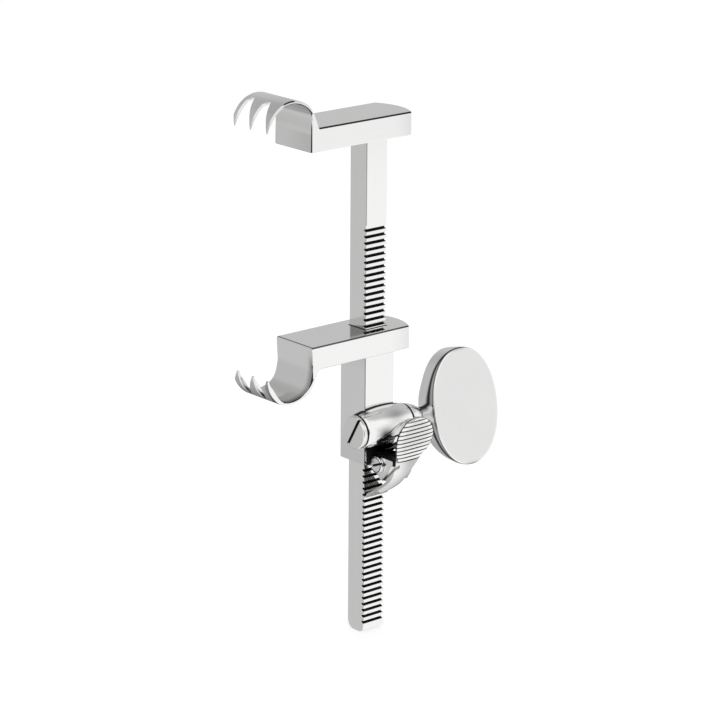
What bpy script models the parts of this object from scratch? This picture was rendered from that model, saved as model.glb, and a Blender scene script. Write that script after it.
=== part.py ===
"""Rib contractor: two hooked arms drawn together along a toothed bar by a pinion and thumb key.

Lengths in this file are millimetres and angles are degrees; mesh coordinates are metres, +Z up. The bar
stands on its rounded foot at the origin, its teeth face -Y, the hooks point to -X and the thumb key to +X.
"""

import math

import bmesh
import bpy
import numpy as np
from mathutils import Matrix, Vector

MM = 0.001

# Clearances
RUN = 0.15
SLIDE_GAP = 0.2
FIT = 0.05
JOINT_GAP = 0.1

# Toothed bar
BAR_W = 9.4
BAR_D = 8.6
BAR_H = 182.9
FOOT_RISE = 2.1
FOOT_BACK_RISE = 3.6
FOOT_FLAT = 2.4
PITCH = 2.3175
GROOVES = 64
GROOVE_FIRST_Z = 4.15
GROOVE_MOUTH = 1.15
GROOVE_FLOOR = 0.5
GROOVE_DEPTH = 1.1

# Arms and hooks
ARM_D = 19.6
ARM_T = 8.35
ARM_RIGHT = 13.9
ARM_CORNER_X = 10.9
LOWER_ARM_Z = 105.9
UPPER_END_X = -34.0
LOWER_END_X = -33.45
LOWER_HOOK_X = -42.7
UPPER_HOOK_X = -42.2
UPPER_HOOK_RISE = 7.6
UPPER_HOOK_R = 11.55
UPPER_ROOT_T = 3.2
UPPER_PLATE_T = 1.1
UPPER_TIP_ANGLE = 171.0
UPPER_SPLIT_ANGLE = 111.0
UPPER_DRAW = 0.45
LOWER_HOOK_RISE = 1.5
LOWER_HOOK_R = 11.45
LOWER_PLATE_T = 1.15
LOWER_ROOT_EXTRA = 0.65
LOWER_PRONG_EXTRA = 0.6
LOWER_DRAW = 1.0
LOWER_TIP_ANGLE = 172.0
LOWER_SPLIT_ANGLE = 118.0
LOWER_FILLET = 2.2
PRONG_GAP_ROOT = 0.8
UPPER_PRONG_SIDES = (7.5, -1.0)
UPPER_PRONG_ROOT = 6.5
UPPER_PRONG_TIP = 0.3
LOWER_PRONG_SIDES = (6.4, -1.9)
LOWER_PRONG_ROOT = 7.0
LOWER_PRONG_TIP = 0.9
ARM_BEVEL = 0.35

# Sleeve under the lower arm
SLEEVE_W = 13.4
SLEEVE_D = 13.2
SLEEVE_BOTTOM = 65.1

# Pinion and its axis
PINION_TEETH = 10
PINION_DEPTH = 0.45
PINION_FACE = 11.2
PINION_CLEAR = 0.06
AXIS_Z = 78.8
SHAFT_R = 2.5
PILOT_R = 1.4
PILOT_LEN = 2.4
PLUG_LEN = 2.2

# Housing
HOUSING_LEFT = -10.7
HOUSING_RIGHT = 11.4
HOUSING_END_R = 6.0
HOUSING_MID_R = 7.25
HOUSING_SHOULDER_R = 5.85
BUSH_END = 17.5
BUSH_TIP_R = 3.35
HEAD_R = 6.0
HEAD_T = 2.1
HEAD_GAP = 0.45
HEAD_NECK_R = 5.2
SLOT_W = 0.85
SLOT_DEPTH = 0.9
BEARING_SLOT_ANGLE = 120.0

# Thumb key
KEY_X = 37.4
KEY_HALF_LEN = 15.3
KEY_HALF_HEIGHT = 21.4
KEY_FRONT = 4.0
KEY_ROOT_T = 9.6
KEY_SIDE_T = 8.2
KEY_MID_T = 5.4
KEY_THIN = 2.4
KEY_TILT = 11.6
KEY_NECK_R = 3.0
KEY_EDGE = 0.5

# Pawl lever
PAWL_Y = -10.0
PAWL_Z = 65.7
PAWL_LEFT = -3.1
PAWL_RIGHT = 6.2
LEVER_LEFT = -2.4
LEVER_TIP_Y = -4.9
WEB_T = 2.75
CHEEK_R = 3.15
CLAW_LEFT = -4.6
CLAW_GAP = 0.15
CLAW_NEAR_Z = 52.8
CLAW_BACK = -5.3
CLAW_SWING = 4.0
LUG_LEFT = -0.8
LUG_RIGHT = 4.2
LUG_R = 2.6
LUG_FRONT = -9.0
LUG_TOP_Z = 73.6
BOSS_LOW_Z = 69.2
BOSS_RIGHT = 8.2
PAWL_PIN_R = 1.25
PAWL_HEAD_R = 3.15
PAWL_HEAD_T = 1.2
PAWL_SLOT_ANGLE = -8.0
PAD_TOP_Z = 82.0
PAD_BOTTOM_Z = 68.4
PAD_TOP_Y = -17.1
PAD_BOTTOM_Y = -19.6
PAD_T = 1.9
PAD_UNDERCUT = 0.7
PAD_LEAN = 9.3
PAD_RIGHT = 15.85
PAD_SPAN = 11.25
PAD_GROOVES = 11
PAD_GROOVE_PITCH = 1.28
PAD_GROOVE_W = 0.5
PAD_GROOVE_DEPTH = 0.4
SPRING_W = 3.2
SPRING_T = 0.35
SPRING_Z = 70.4
SPRING_LEN = 7.3
SPRING_RISE = 3.9

PITCH_R = PINION_TEETH * PITCH / (2.0 * math.pi)
BAR_FRONT = -BAR_D / 2.0
AXIS_Y = BAR_FRONT + PINION_DEPTH - PITCH_R
PINION_TIP_R = PITCH_R + PINION_DEPTH
BORE_R = PINION_TIP_R + 0.6
UPPER_ARM_Z = BAR_H
SLEEVE_FRONT = -SLEEVE_D / 2.0
KEY_START = BUSH_END + JOINT_GAP
CLAW_Z = GROOVE_FIRST_Z + PITCH * round((CLAW_NEAR_Z - GROOVE_FIRST_Z) / PITCH)
LEVER_LOW_Z = CLAW_Z - 0.8


def clear_scene():
    """Remove everything that the start-up file holds."""
    for item in list(bpy.data.objects):
        bpy.data.objects.remove(item, do_unlink=True)
    for mesh in list(bpy.data.meshes):
        bpy.data.meshes.remove(mesh)


def make_collection(name):
    """A collection linked to the scene."""
    collection = bpy.data.collections.new(name)
    bpy.context.scene.collection.children.link(collection)
    return collection


def make_material(name, colour, roughness):
    """A metal with a Principled shader."""
    material = bpy.data.materials.new(name)
    material.use_nodes = True
    shader = material.node_tree.nodes["Principled BSDF"]
    shader.inputs["Base Color"].default_value = (*colour, 1.0)
    shader.inputs["Metallic"].default_value = 1.0
    shader.inputs["Roughness"].default_value = roughness
    return material


def finish_object(name, bm, collection, material=None, origin=(0.0, 0.0, 0.0)):
    """Turn a bmesh in millimetres into a named object whose origin lies at the given point."""
    bmesh.ops.recalc_face_normals(bm, faces=bm.faces)
    shift = Matrix.Translation(Vector(origin) * -1.0)
    bmesh.ops.transform(bm, matrix=Matrix.Scale(MM, 4) @ shift, verts=bm.verts)
    mesh = bpy.data.meshes.new(name)
    bm.to_mesh(mesh)
    bm.free()
    item = bpy.data.objects.new(name, mesh)
    item.location = Vector(origin) * MM
    collection.objects.link(item)
    if material is not None:
        mesh.materials.append(material)
    return item


def prism(points, axis, low, high):
    """Extrude a closed outline. The outline's two numbers fill the two axes that are left, in order."""
    bm = bmesh.new()
    others = [i for i in range(3) if i != axis]
    verts = []
    for u, v in points:
        co = [0.0, 0.0, 0.0]
        co[axis] = low
        co[others[0]] = u
        co[others[1]] = v
        verts.append(bm.verts.new(co))
    face = bm.faces.new(verts)
    grown = bmesh.ops.extrude_face_region(bm, geom=[face])
    moved = [v for v in grown["geom"] if isinstance(v, bmesh.types.BMVert)]
    step = [0.0, 0.0, 0.0]
    step[axis] = high - low
    bmesh.ops.translate(bm, verts=moved, vec=step)
    return bm


def box(low, high):
    """A box between two corners."""
    corners = [(low[0], low[1]), (high[0], low[1]), (high[0], high[1]), (low[0], high[1])]
    return prism(corners, 2, low[2], high[2])


def revolve(profile, steps, centre_y, centre_z):
    """Turn a profile of (x, radius) pairs, closed on the axis at both ends, about an axis along X."""
    bm = bmesh.new()
    rings = []
    for x, radius in profile:
        if radius <= 0.0:
            rings.append([bm.verts.new((x, centre_y, centre_z))])
            continue
        ring = []
        for k in range(steps):
            angle = 2.0 * math.pi * k / steps
            y = centre_y + radius * math.cos(angle)
            ring.append(bm.verts.new((x, y, centre_z + radius * math.sin(angle))))
        rings.append(ring)
    for a, b in zip(rings[:-1], rings[1:]):
        join_rings(bm, a, b)
    return bm


def cylinder(start, end, radius, steps, centre_y, centre_z):
    """A plain cylinder along X between two places."""
    profile = [(start, 0.0), (start, radius), (end, radius), (end, 0.0)]
    return revolve(profile, steps, centre_y, centre_z)


def join_rings(bm, a, b):
    """Skin two rings of the same count, or a ring and a single point."""
    count = max(len(a), len(b))
    for k in range(count):
        m = (k + 1) % count
        if len(a) == 1:
            bm.faces.new((a[0], b[k], b[m]))
        elif len(b) == 1:
            bm.faces.new((a[k], b[0], a[m]))
        else:
            bm.faces.new((a[k], b[k], b[m], a[m]))


def loft(sections):
    """Skin a row of closed sections with equal counts and cap both ends."""
    bm = bmesh.new()
    rings = [[bm.verts.new(tuple(point)) for point in section] for section in sections]
    for a, b in zip(rings[:-1], rings[1:]):
        join_rings(bm, a, b)
    bm.faces.new(rings[0][::-1])
    bm.faces.new(rings[-1])
    return bm


def combine(item, bm_tool, operation, tools, label):
    """Apply an exact Boolean with a tool made from a bmesh in millimetres; the tool stays in the cutters.

    The tool has the item's origin, so the cut is the same wherever the item stands.
    """
    tool = finish_object(item.name + "_" + label, bm_tool, tools, origin=item.location / MM)
    tool.hide_render = True
    tool.display_type = "WIRE"
    modifier = item.modifiers.new(label, "BOOLEAN")
    modifier.operation = operation
    modifier.solver = "EXACT"
    modifier.object = tool
    return tool


def edge_bevel(item, width, segments=1, angle=40.0):
    """Round the edges that turn by more than the given angle."""
    modifier = item.modifiers.new("edges", "BEVEL")
    modifier.width = width * MM
    modifier.segments = segments
    modifier.limit_method = "ANGLE"
    modifier.angle_limit = math.radians(angle)
    modifier.harden_normals = False


def smooth(item, angle=30.0):
    """Shade the round faces smooth and keep the sharp edges."""
    item.data.shade_smooth()
    item.data.set_sharp_from_angle(angle=math.radians(angle))


def bar_outline():
    """Side outline of the bar in Y and Z: a rounded foot, plain back and a row of grooves in the front."""
    half = BAR_D / 2.0
    points = []
    for k in range(7):
        angle = math.radians(90.0 * k / 6.0)
        y = half - (half - FOOT_FLAT / 2.0) * (1.0 - math.cos(angle))
        points.append((y, FOOT_BACK_RISE * (1.0 - math.sin(angle))))
    for k in range(6):
        angle = math.radians(90.0 * k / 5.0)
        y = -FOOT_FLAT / 2.0 - (half - FOOT_FLAT / 2.0) * math.sin(angle)
        points.append((y, FOOT_RISE * (1.0 - math.cos(angle))))
    for k in range(GROOVES):
        centre = GROOVE_FIRST_Z + k * PITCH
        points.append((-half, centre - GROOVE_MOUTH / 2.0))
        points.append((-half + GROOVE_DEPTH, centre - GROOVE_FLOOR / 2.0))
        points.append((-half + GROOVE_DEPTH, centre + GROOVE_FLOOR / 2.0))
        points.append((-half, centre + GROOVE_MOUTH / 2.0))
    points.append((-half, BAR_H))
    points.append((half, BAR_H))
    return points


def make_bar(collection, material):
    """The toothed bar."""
    bm = prism(bar_outline(), 0, -BAR_W / 2.0, BAR_W / 2.0)
    return finish_object("rack_bar", bm, collection, material)


def arm_plan():
    """Outline of an arm seen from above: straight sides and a bowed right end."""
    half = ARM_D / 2.0
    bow = ARM_RIGHT - ARM_CORNER_X
    radius = (half * half + bow * bow) / (2.0 * bow)
    reach = math.asin(half / radius)
    points = [(-60.0, -half)]
    for k in range(17):
        angle = -reach + 2.0 * reach * k / 16.0
        points.append((ARM_RIGHT - radius + radius * math.cos(angle), radius * math.sin(angle)))
    points.append((-60.0, half))
    return points


def upper_radius(angle):
    """Outer radius of the upper hook, drawn in a little at its shoulder and towards the tips."""
    drawn = min(max((angle - 95.0) / 60.0, 0.0), 1.0)
    shoulder = 0.4 * math.exp(-(((angle - 24.0) / 16.0) ** 2))
    return UPPER_HOOK_R - UPPER_DRAW * drawn - shoulder


def upper_outline():
    """Side outline of the upper arm and its hook in X and Z."""
    low = UPPER_ARM_Z
    top = low + ARM_T
    centre_z = low + UPPER_HOOK_RISE
    points = [(ARM_RIGHT + 2.0, low), (UPPER_END_X, low)]
    for k in range(25):
        angle = -4.0 + (UPPER_TIP_ANGLE + 4.0) * k / 24.0
        fade = ease(angle / 38.0)
        thick = UPPER_ROOT_T + (UPPER_PLATE_T - UPPER_ROOT_T) * fade
        taper = min(max((angle - 140.0) / (UPPER_TIP_ANGLE - 140.0), 0.0), 1.0)
        thick = thick * (1.0 - 0.75 * taper * taper)
        radius = upper_radius(angle) - thick
        a = math.radians(angle)
        points.append((UPPER_HOOK_X + radius * math.cos(a), centre_z + radius * math.sin(a)))
    start = math.degrees(math.asin((top - centre_z) / UPPER_HOOK_R))
    for k in range(27):
        angle = UPPER_TIP_ANGLE + (start - UPPER_TIP_ANGLE) * k / 26.0
        a = math.radians(angle)
        radius = upper_radius(angle)
        points.append((UPPER_HOOK_X + radius * math.cos(a), centre_z + radius * math.sin(a)))
    points.append((ARM_RIGHT + 2.0, top))
    return points


def lower_radius(angle):
    """Outer radius of the lower hook: fuller at the corner under the arm and drawn in towards the tips."""
    corner = 0.7 * math.exp(-(((angle - 45.0) / 24.0) ** 2))
    belly = 0.35 * math.exp(-(((angle - 104.0) / 22.0) ** 2))
    drawn = min(max((angle - 112.0) / 59.0, 0.0), 1.0) ** 0.9
    return LOWER_HOOK_R + corner + belly - LOWER_DRAW * drawn


def lower_thickness(angle):
    """Thickness of the lower hook's plate: heavy at the root and in the prongs, thin at the tips."""
    root = 1.0 - min(max((angle - 26.0) / 34.0, 0.0), 1.0)
    prong = math.exp(-(((angle - 140.0) / 22.0) ** 2))
    thick = LOWER_PLATE_T + LOWER_ROOT_EXTRA * root + LOWER_PRONG_EXTRA * prong
    end = min(max((angle - 150.0) / (LOWER_TIP_ANGLE - 150.0), 0.0), 1.0)
    return thick * (1.0 - 0.5 * end)


def lower_outline():
    """Side outline of the lower arm and its hook in X and Z."""
    low = LOWER_ARM_Z
    top = low + ARM_T
    centre_z = low + LOWER_HOOK_RISE
    points = [(ARM_RIGHT + 2.0, top), (LOWER_END_X, top)]
    inner = []
    outer = []
    for k in range(29):
        angle = 6.0 + (LOWER_TIP_ANGLE - 6.0) * k / 28.0
        a = math.radians(angle)
        full = lower_radius(angle)
        wall = full - lower_thickness(angle)
        inner.append((LOWER_HOOK_X + wall * math.cos(a), centre_z - wall * math.sin(a)))
        outer.append((LOWER_HOOK_X + full * math.cos(a), centre_z - full * math.sin(a)))
    points.extend(inner)
    root = outer[0][0]
    outer = [point for point in outer if point[1] < low - LOWER_FILLET]
    points.extend(outer[::-1])
    for k in range(6):
        a = math.radians(90.0 * k / 5.0)
        x = root + LOWER_FILLET * (1.0 - math.cos(a)) + 0.05
        points.append((x, low - LOWER_FILLET * (1.0 - math.sin(a))))
    points.append((ARM_RIGHT + 2.0, low))
    return points


def prong_cutters(centre, sign, split, tip, sides, root, end, rim_low):
    """Cutters that part the hook into three prongs, each straight on its -Y side and tapered on the other."""
    near_sides = (*sides[1:], -ARM_D / 2.0)
    cutters = []
    for high, low in [(ARM_D / 2.0 + 2.0, sides[0])] + list(zip(sides, near_sides)):
        sections = []
        for k in range(13):
            share = k / 12.0
            angle = math.radians(split + (tip + 1.5 - split) * share)
            start = low + end + (root - end) * (1.0 - share)
            reach = high
            if high in sides:
                reach = min(high, start + PRONG_GAP_ROOT + (high - start) * min(share / 0.2, 1.0))
            start = min(start, reach - 0.3)
            sections.append(radial_section(centre, sign, angle, rim_low, start, reach))
        cutters.append(loft(sections))
    return cutters


def radial_section(centre, sign, angle, rim_low, y_a, y_b):
    """Four corners of a cutter's section that stands on a ray from the hook's centre."""
    points = []
    for radius, y in ((rim_low, y_a), (14.5, y_a), (14.5, y_b), (rim_low, y_b)):
        points.append((centre[0] + radius * math.cos(angle), y, centre[1] + sign * radius * math.sin(angle)))
    return points


def make_upper_arm(collection, tools, material):
    """The fixed arm with the arched three-pronged hook."""
    bm = prism(upper_outline(), 1, -ARM_D / 2.0 - 1.0, ARM_D / 2.0 + 1.0)
    item = finish_object("upper_arm", bm, collection, material, (0.0, 0.0, UPPER_ARM_Z))
    plan = prism(arm_plan(), 2, UPPER_ARM_Z - 5.0, UPPER_ARM_Z + 25.0)
    combine(item, plan, "INTERSECT", tools, "plan")
    centre = (UPPER_HOOK_X, UPPER_ARM_Z + UPPER_HOOK_RISE)
    shape = (UPPER_PRONG_SIDES, UPPER_PRONG_ROOT, UPPER_PRONG_TIP)
    cuts = prong_cutters(centre, 1.0, UPPER_SPLIT_ANGLE, UPPER_TIP_ANGLE, *shape, 7.0)
    for k, cut in enumerate(cuts):
        combine(item, cut, "DIFFERENCE", tools, "prong_" + str(k))
    edge_bevel(item, ARM_BEVEL)
    return item


def make_lower_arm(collection, tools, material):
    """The sliding arm with the upturned three-pronged hook and the window for the bar."""
    bm = prism(lower_outline(), 1, -ARM_D / 2.0 - 1.0, ARM_D / 2.0 + 1.0)
    item = finish_object("lower_arm", bm, collection, material, (0.0, 0.0, LOWER_ARM_Z))
    plan = prism(arm_plan(), 2, LOWER_ARM_Z - 20.0, LOWER_ARM_Z + 15.0)
    combine(item, plan, "INTERSECT", tools, "plan")
    hole_w = BAR_W / 2.0 + SLIDE_GAP
    hole_d = BAR_D / 2.0 + SLIDE_GAP
    window = box((-hole_w, -hole_d, LOWER_ARM_Z - 1.0), (hole_w, hole_d, LOWER_ARM_Z + ARM_T + 1.0))
    combine(item, window, "DIFFERENCE", tools, "window")
    centre = (LOWER_HOOK_X, LOWER_ARM_Z + LOWER_HOOK_RISE)
    shape = (LOWER_PRONG_SIDES, LOWER_PRONG_ROOT, LOWER_PRONG_TIP)
    cuts = prong_cutters(centre, -1.0, LOWER_SPLIT_ANGLE, LOWER_TIP_ANGLE, *shape, 7.0)
    for k, cut in enumerate(cuts):
        combine(item, cut, "DIFFERENCE", tools, "prong_" + str(k))
    edge_bevel(item, ARM_BEVEL)
    return item


def make_sleeve(collection, tools, material):
    """The square sleeve that runs on the bar, with a window for the pinion in its front wall."""
    half_w = SLEEVE_W / 2.0
    half_d = SLEEVE_D / 2.0
    bm = box((-half_w, -half_d, SLEEVE_BOTTOM), (half_w, half_d, LOWER_ARM_Z))
    item = finish_object("slide_sleeve", bm, collection, material)
    hole_w = BAR_W / 2.0 + RUN
    hole_d = BAR_D / 2.0 + RUN
    channel = box((-hole_w, -hole_d, SLEEVE_BOTTOM - 1.0), (hole_w, hole_d, LOWER_ARM_Z + 1.0))
    combine(item, channel, "DIFFERENCE", tools, "channel")
    reach = PINION_FACE / 2.0 + RUN
    window = cylinder(-reach, reach, BORE_R - 0.25, 40, AXIS_Y, AXIS_Z)
    combine(item, window, "DIFFERENCE", tools, "pinion_window")
    notch = cylinder(-half_w - 1.0, half_w + 1.0, SHAFT_R + RUN, 32, AXIS_Y, AXIS_Z)
    combine(item, notch, "DIFFERENCE", tools, "shaft_notch")
    edge_bevel(item, 0.3)
    return item


def housing_profile():
    """Outer profile of the pinion housing: a barrel with its fullest part over the sleeve."""
    points = [(HOUSING_LEFT, 0.0), (HOUSING_LEFT, HOUSING_END_R - 0.3)]
    for k in range(15):
        share = k / 14.0
        x = HOUSING_LEFT + 0.35 + (HOUSING_RIGHT - HOUSING_LEFT - 0.35) * share
        rise = math.sin(math.pi * share) ** 0.7
        end = HOUSING_END_R + (HOUSING_SHOULDER_R - HOUSING_END_R) * share
        points.append((x, end + (HOUSING_MID_R - end) * rise))
    points.append((HOUSING_RIGHT, 0.0))
    return points


def make_housing(collection, tools, material):
    """The pinion housing with its bore and, under it, the lug that carries the pawl."""
    bm = revolve(housing_profile(), 56, AXIS_Y, AXIS_Z)
    item = finish_object("pinion_housing", bm, collection, material)
    combine(item, lug_solid(), "UNION", tools, "lug")
    boss = box((LUG_LEFT, LUG_FRONT, BOSS_LOW_Z), (BOSS_RIGHT, SLEEVE_FRONT + 0.5, LUG_TOP_Z))
    combine(item, boss, "UNION", tools, "boss")
    half_w = SLEEVE_W / 2.0
    reach = 2.0 * HOUSING_MID_R
    body = box((-half_w, SLEEVE_FRONT, SLEEVE_BOTTOM - reach), (half_w, SLEEVE_D, AXIS_Z + reach))
    combine(item, body, "DIFFERENCE", tools, "sleeve")
    inner = PINION_FACE / 2.0 + 1.2
    bore = cylinder(HOUSING_LEFT - 1.0, inner, BORE_R, 40, AXIS_Y, AXIS_Z)
    combine(item, bore, "DIFFERENCE", tools, "bore")
    hole = cylinder(0.0, HOUSING_RIGHT + 1.0, SHAFT_R + RUN, 32, AXIS_Y, AXIS_Z)
    combine(item, hole, "DIFFERENCE", tools, "shaft_hole")
    pin = cylinder(LUG_LEFT - 1.0, LUG_RIGHT + 1.0, PAWL_PIN_R + FIT, 24, PAWL_Y, PAWL_Z)
    combine(item, pin, "DIFFERENCE", tools, "pin_hole")
    return item


def lug_solid():
    """The lug's outline in Y and Z: an eye round the pawl's pivot that runs up into the housing's boss."""
    points = []
    top = math.acos((LUG_FRONT - PAWL_Y) / LUG_R)
    for k in range(13):
        angle = top + (math.radians(315.0) - top) * k / 12.0
        points.append((PAWL_Y + LUG_R * math.cos(angle), PAWL_Z + LUG_R * math.sin(angle)))
    points.append((SLEEVE_FRONT + 0.5, PAWL_Z + 0.2))
    points.append((SLEEVE_FRONT + 0.5, LUG_TOP_Z))
    points.append((LUG_FRONT, LUG_TOP_Z))
    return prism(points, 0, LUG_LEFT, LUG_RIGHT)


def slot_cutter(x_face, inward, centre_y, centre_z, reach, width, angle):
    """A narrow box across a screw head, turned about the screw's axis."""
    bm = box((0.0, -reach, -width / 2.0), (SLOT_DEPTH + 1.0, reach, width / 2.0))
    start = x_face - 1.0 if inward > 0 else x_face - SLOT_DEPTH
    turn = Matrix.Rotation(math.radians(angle), 4, "X")
    bmesh.ops.transform(bm, matrix=Matrix.Translation((start, centre_y, centre_z)) @ turn, verts=bm.verts)
    return bm


def make_bearing_screw(collection, tools, material):
    """The slotted screw that closes the housing and carries the pinion's left end on a pilot."""
    face = HOUSING_LEFT - HEAD_T
    plug = HOUSING_LEFT + PLUG_LEN
    profile = [
        (face, 0.0),
        (face, HEAD_R - 0.35),
        (face + 0.35, HEAD_R),
        (HOUSING_LEFT - HEAD_GAP, HEAD_R),
        (HOUSING_LEFT - HEAD_GAP, HEAD_NECK_R),
        (HOUSING_LEFT, HEAD_NECK_R),
        (HOUSING_LEFT, BORE_R - RUN),
        (plug, BORE_R - RUN),
        (plug, PILOT_R),
        (plug + PILOT_LEN, PILOT_R),
        (plug + PILOT_LEN, 0.0),
    ]
    bm = revolve(profile, 48, AXIS_Y, AXIS_Z)
    item = finish_object("bearing_screw", bm, collection, material, (HOUSING_LEFT, AXIS_Y, AXIS_Z))
    slot = slot_cutter(face, 1, AXIS_Y, AXIS_Z, HEAD_R + 1.0, SLOT_W, BEARING_SLOT_ANGLE)
    combine(item, slot, "DIFFERENCE", tools, "slot")
    return item


def make_end_bush(collection, tools, material):
    """The domed bush at the housing's right end that the key's shaft turns in."""
    length = BUSH_END - HOUSING_RIGHT
    profile = [(HOUSING_RIGHT, 0.0), (HOUSING_RIGHT, HOUSING_SHOULDER_R - 0.35)]
    for k in range(9):
        share = k / 8.0
        radius = BUSH_TIP_R + (HOUSING_SHOULDER_R - 0.12 - BUSH_TIP_R) * (1.0 - share ** 1.7)
        profile.append((HOUSING_RIGHT + 0.3 + (length - 0.3) * share, radius))
    profile.append((BUSH_END, 0.0))
    bm = revolve(profile, 48, AXIS_Y, AXIS_Z)
    item = finish_object("end_bush", bm, collection, material, (HOUSING_RIGHT, AXIS_Y, AXIS_Z))
    hole = cylinder(HOUSING_RIGHT - 1.0, BUSH_END + 1.0, SHAFT_R + FIT, 32, AXIS_Y, AXIS_Z)
    combine(item, hole, "DIFFERENCE", tools, "hole")
    return item


def rack_phase():
    """Height of the groove nearest the pinion's axis above that axis."""
    step = (AXIS_Z - GROOVE_FIRST_Z) / PITCH
    return (round(step) - step) * PITCH


def tooth_outline():
    """Radii round one tooth: the largest radius that never enters a rack tooth at any phase of the roll."""
    per_tooth = 18
    angles = (np.arange(per_tooth) / per_tooth - 0.5) * 2.0 * np.pi / PINION_TEETH
    rolls = np.linspace(-1.5, 1.5, 241) * PITCH
    radii = np.linspace(PITCH_R - 1.3, PINION_TIP_R, 200)
    angle, roll, radius = np.meshgrid(angles, rolls, radii, indexing="ij")
    turned = angle - roll / PITCH_R
    depth = radius * np.cos(turned) - (PITCH_R - PINION_DEPTH)
    across = radius * np.sin(turned) + roll
    across = np.abs((across / PITCH + 0.5) % 1.0 - 0.5) * PITCH
    slope = (GROOVE_MOUTH - GROOVE_FLOOR) / 2.0 / GROOVE_DEPTH
    wall = GROOVE_MOUTH / 2.0 - slope * depth - PINION_CLEAR
    inside = (depth > -PINION_CLEAR) & (across > wall)
    inside |= depth > GROOVE_DEPTH - 2.0 * PINION_CLEAR
    inside &= np.cos(turned) > 0.0
    hit = inside.any(axis=1)
    first = np.where(hit.any(axis=1), hit.argmax(axis=1), len(radii) - 1)
    return angles, radii[np.maximum(first - 1, 0)]


def make_pinion(collection, tools, material):
    """The pinion with its shaft; the teeth are the shape that the rack's own motion leaves."""
    angles, radii = tooth_outline()
    start = rack_phase() / PITCH_R
    points = []
    for tooth in range(PINION_TEETH):
        for angle, radius in zip(angles, radii):
            a = start + angle + 2.0 * math.pi * tooth / PINION_TEETH
            points.append((AXIS_Y + radius * math.cos(a), AXIS_Z + radius * math.sin(a)))
    half = PINION_FACE / 2.0
    bm = prism(points, 0, -half, half)
    item = finish_object("pinion", bm, collection, material, (0.0, AXIS_Y, AXIS_Z))
    shaft = cylinder(half - 1.0, KEY_START, SHAFT_R, 32, AXIS_Y, AXIS_Z)
    combine(item, shaft, "UNION", tools, "shaft")
    depth = HOUSING_LEFT + PLUG_LEN + PILOT_LEN + RUN
    hole = cylinder(-half - 1.0, depth, PILOT_R + FIT, 24, AXIS_Y, AXIS_Z)
    combine(item, hole, "DIFFERENCE", tools, "pilot_hole")
    return item


def key_point(u, w, v):
    """A point of the key from its place along the shaft, in front of the axis and up the plate."""
    tilt = math.radians(KEY_TILT)
    y = AXIS_Y - w * math.cos(tilt) + v * math.sin(tilt)
    z = AXIS_Z + w * math.sin(tilt) + v * math.cos(tilt)
    return (u, y, z)


def oval(angle, inset):
    """A point of the key's oval outline, pulled in by the given distance."""
    c = math.cos(angle)
    s = math.sin(angle)
    power = 2.0 / 2.1
    u = (KEY_HALF_LEN - inset) * math.copysign(abs(c) ** power, c)
    v = (KEY_HALF_HEIGHT - inset) * math.copysign(abs(s) ** power, s)
    return KEY_X + u, v


def ease(value):
    """A smooth step from 0 to 1."""
    value = min(max(value, 0.0), 1.0)
    return value * value * (3.0 - 2.0 * value)


def rim_depth(angle):
    """Thickness of the key's rim: deep along the neck's side and thin along the free side."""
    degrees = math.degrees(angle)
    side = ease((degrees - 72.0) / 26.0) * (1.0 - ease((degrees - 200.0) / 62.0))
    root = math.exp(-(((degrees - 172.0) / 18.0) ** 2))
    return KEY_THIN + (KEY_SIDE_T - KEY_THIN) * side + (KEY_ROOT_T - KEY_SIDE_T) * root


def key_depth(angle, share):
    """Thickness of the key's plate on the way from the rim, share 0, to the middle, share 1."""
    away = 1.0 - share
    weight = away * away * (3.0 - 2.0 * away)
    return KEY_MID_T + (rim_depth(angle) - KEY_MID_T) * weight


def make_key(collection, tools, material):
    """The oval thumb key: a flat-faced plate that swells at the back towards its neck."""
    steps = 72
    sections = []
    rows = [(0.0, KEY_EDGE, 0.0), (0.0, 0.0, KEY_EDGE)]
    for inset, pull, drop in rows:
        ring = []
        for k in range(steps):
            u, v = oval(2.0 * math.pi * k / steps, pull)
            ring.append(key_point(u, KEY_FRONT - drop, v))
        sections.append(ring)
    for share in (0.0, 0.12, 0.3, 0.5, 0.7, 0.88):
        ring = []
        for k in range(steps):
            angle = 2.0 * math.pi * k / steps
            edge_u, edge_v = oval(angle, 0.0)
            pull = 0.9 if share == 0.0 else 0.0
            u = KEY_X + (edge_u - KEY_X) * (1.0 - share)
            v = edge_v * (1.0 - share)
            depth = key_depth(angle, share) - pull * 0.6
            ring.append(key_point(u, KEY_FRONT - depth, v))
        sections.append(ring)
    bm = loft(sections)
    item = finish_object("thumb_key", bm, collection, material, (KEY_START, AXIS_Y, AXIS_Z))
    combine(item, neck_solid(), "UNION", tools, "neck")
    return item


def neck_solid():
    """The key's neck: round at the bush and spreading to the height and depth of the plate's edge."""
    start = KEY_START
    edge = KEY_X - KEY_HALF_LEN
    sections = []
    for x_share, half_w, half_v, shift in (
        (0.0, KEY_NECK_R, KEY_NECK_R, 0.0),
        (0.35, KEY_NECK_R, KEY_NECK_R + 0.1, 0.0),
        (0.65, KEY_NECK_R + 0.35, KEY_NECK_R + 0.9, 0.0),
        (0.85, KEY_NECK_R + 0.75, KEY_NECK_R + 2.4, -0.3),
        (1.0, KEY_NECK_R + 0.9, KEY_NECK_R + 4.6, -0.45),
        (1.3, KEY_NECK_R + 0.9, KEY_NECK_R + 5.0, -0.45),
    ):
        x = start + (edge + 0.6 - start) * x_share
        ring = []
        for k in range(32):
            a = 2.0 * math.pi * k / 32
            ring.append(key_point(x, shift + half_w * math.cos(a), half_v * math.sin(a)))
        sections.append(ring)
    return loft(sections)


def pad_share(z):
    """How far up the thumb pad a height lies."""
    return (z - PAD_BOTTOM_Z) / (PAD_TOP_Z - PAD_BOTTOM_Z)


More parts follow.
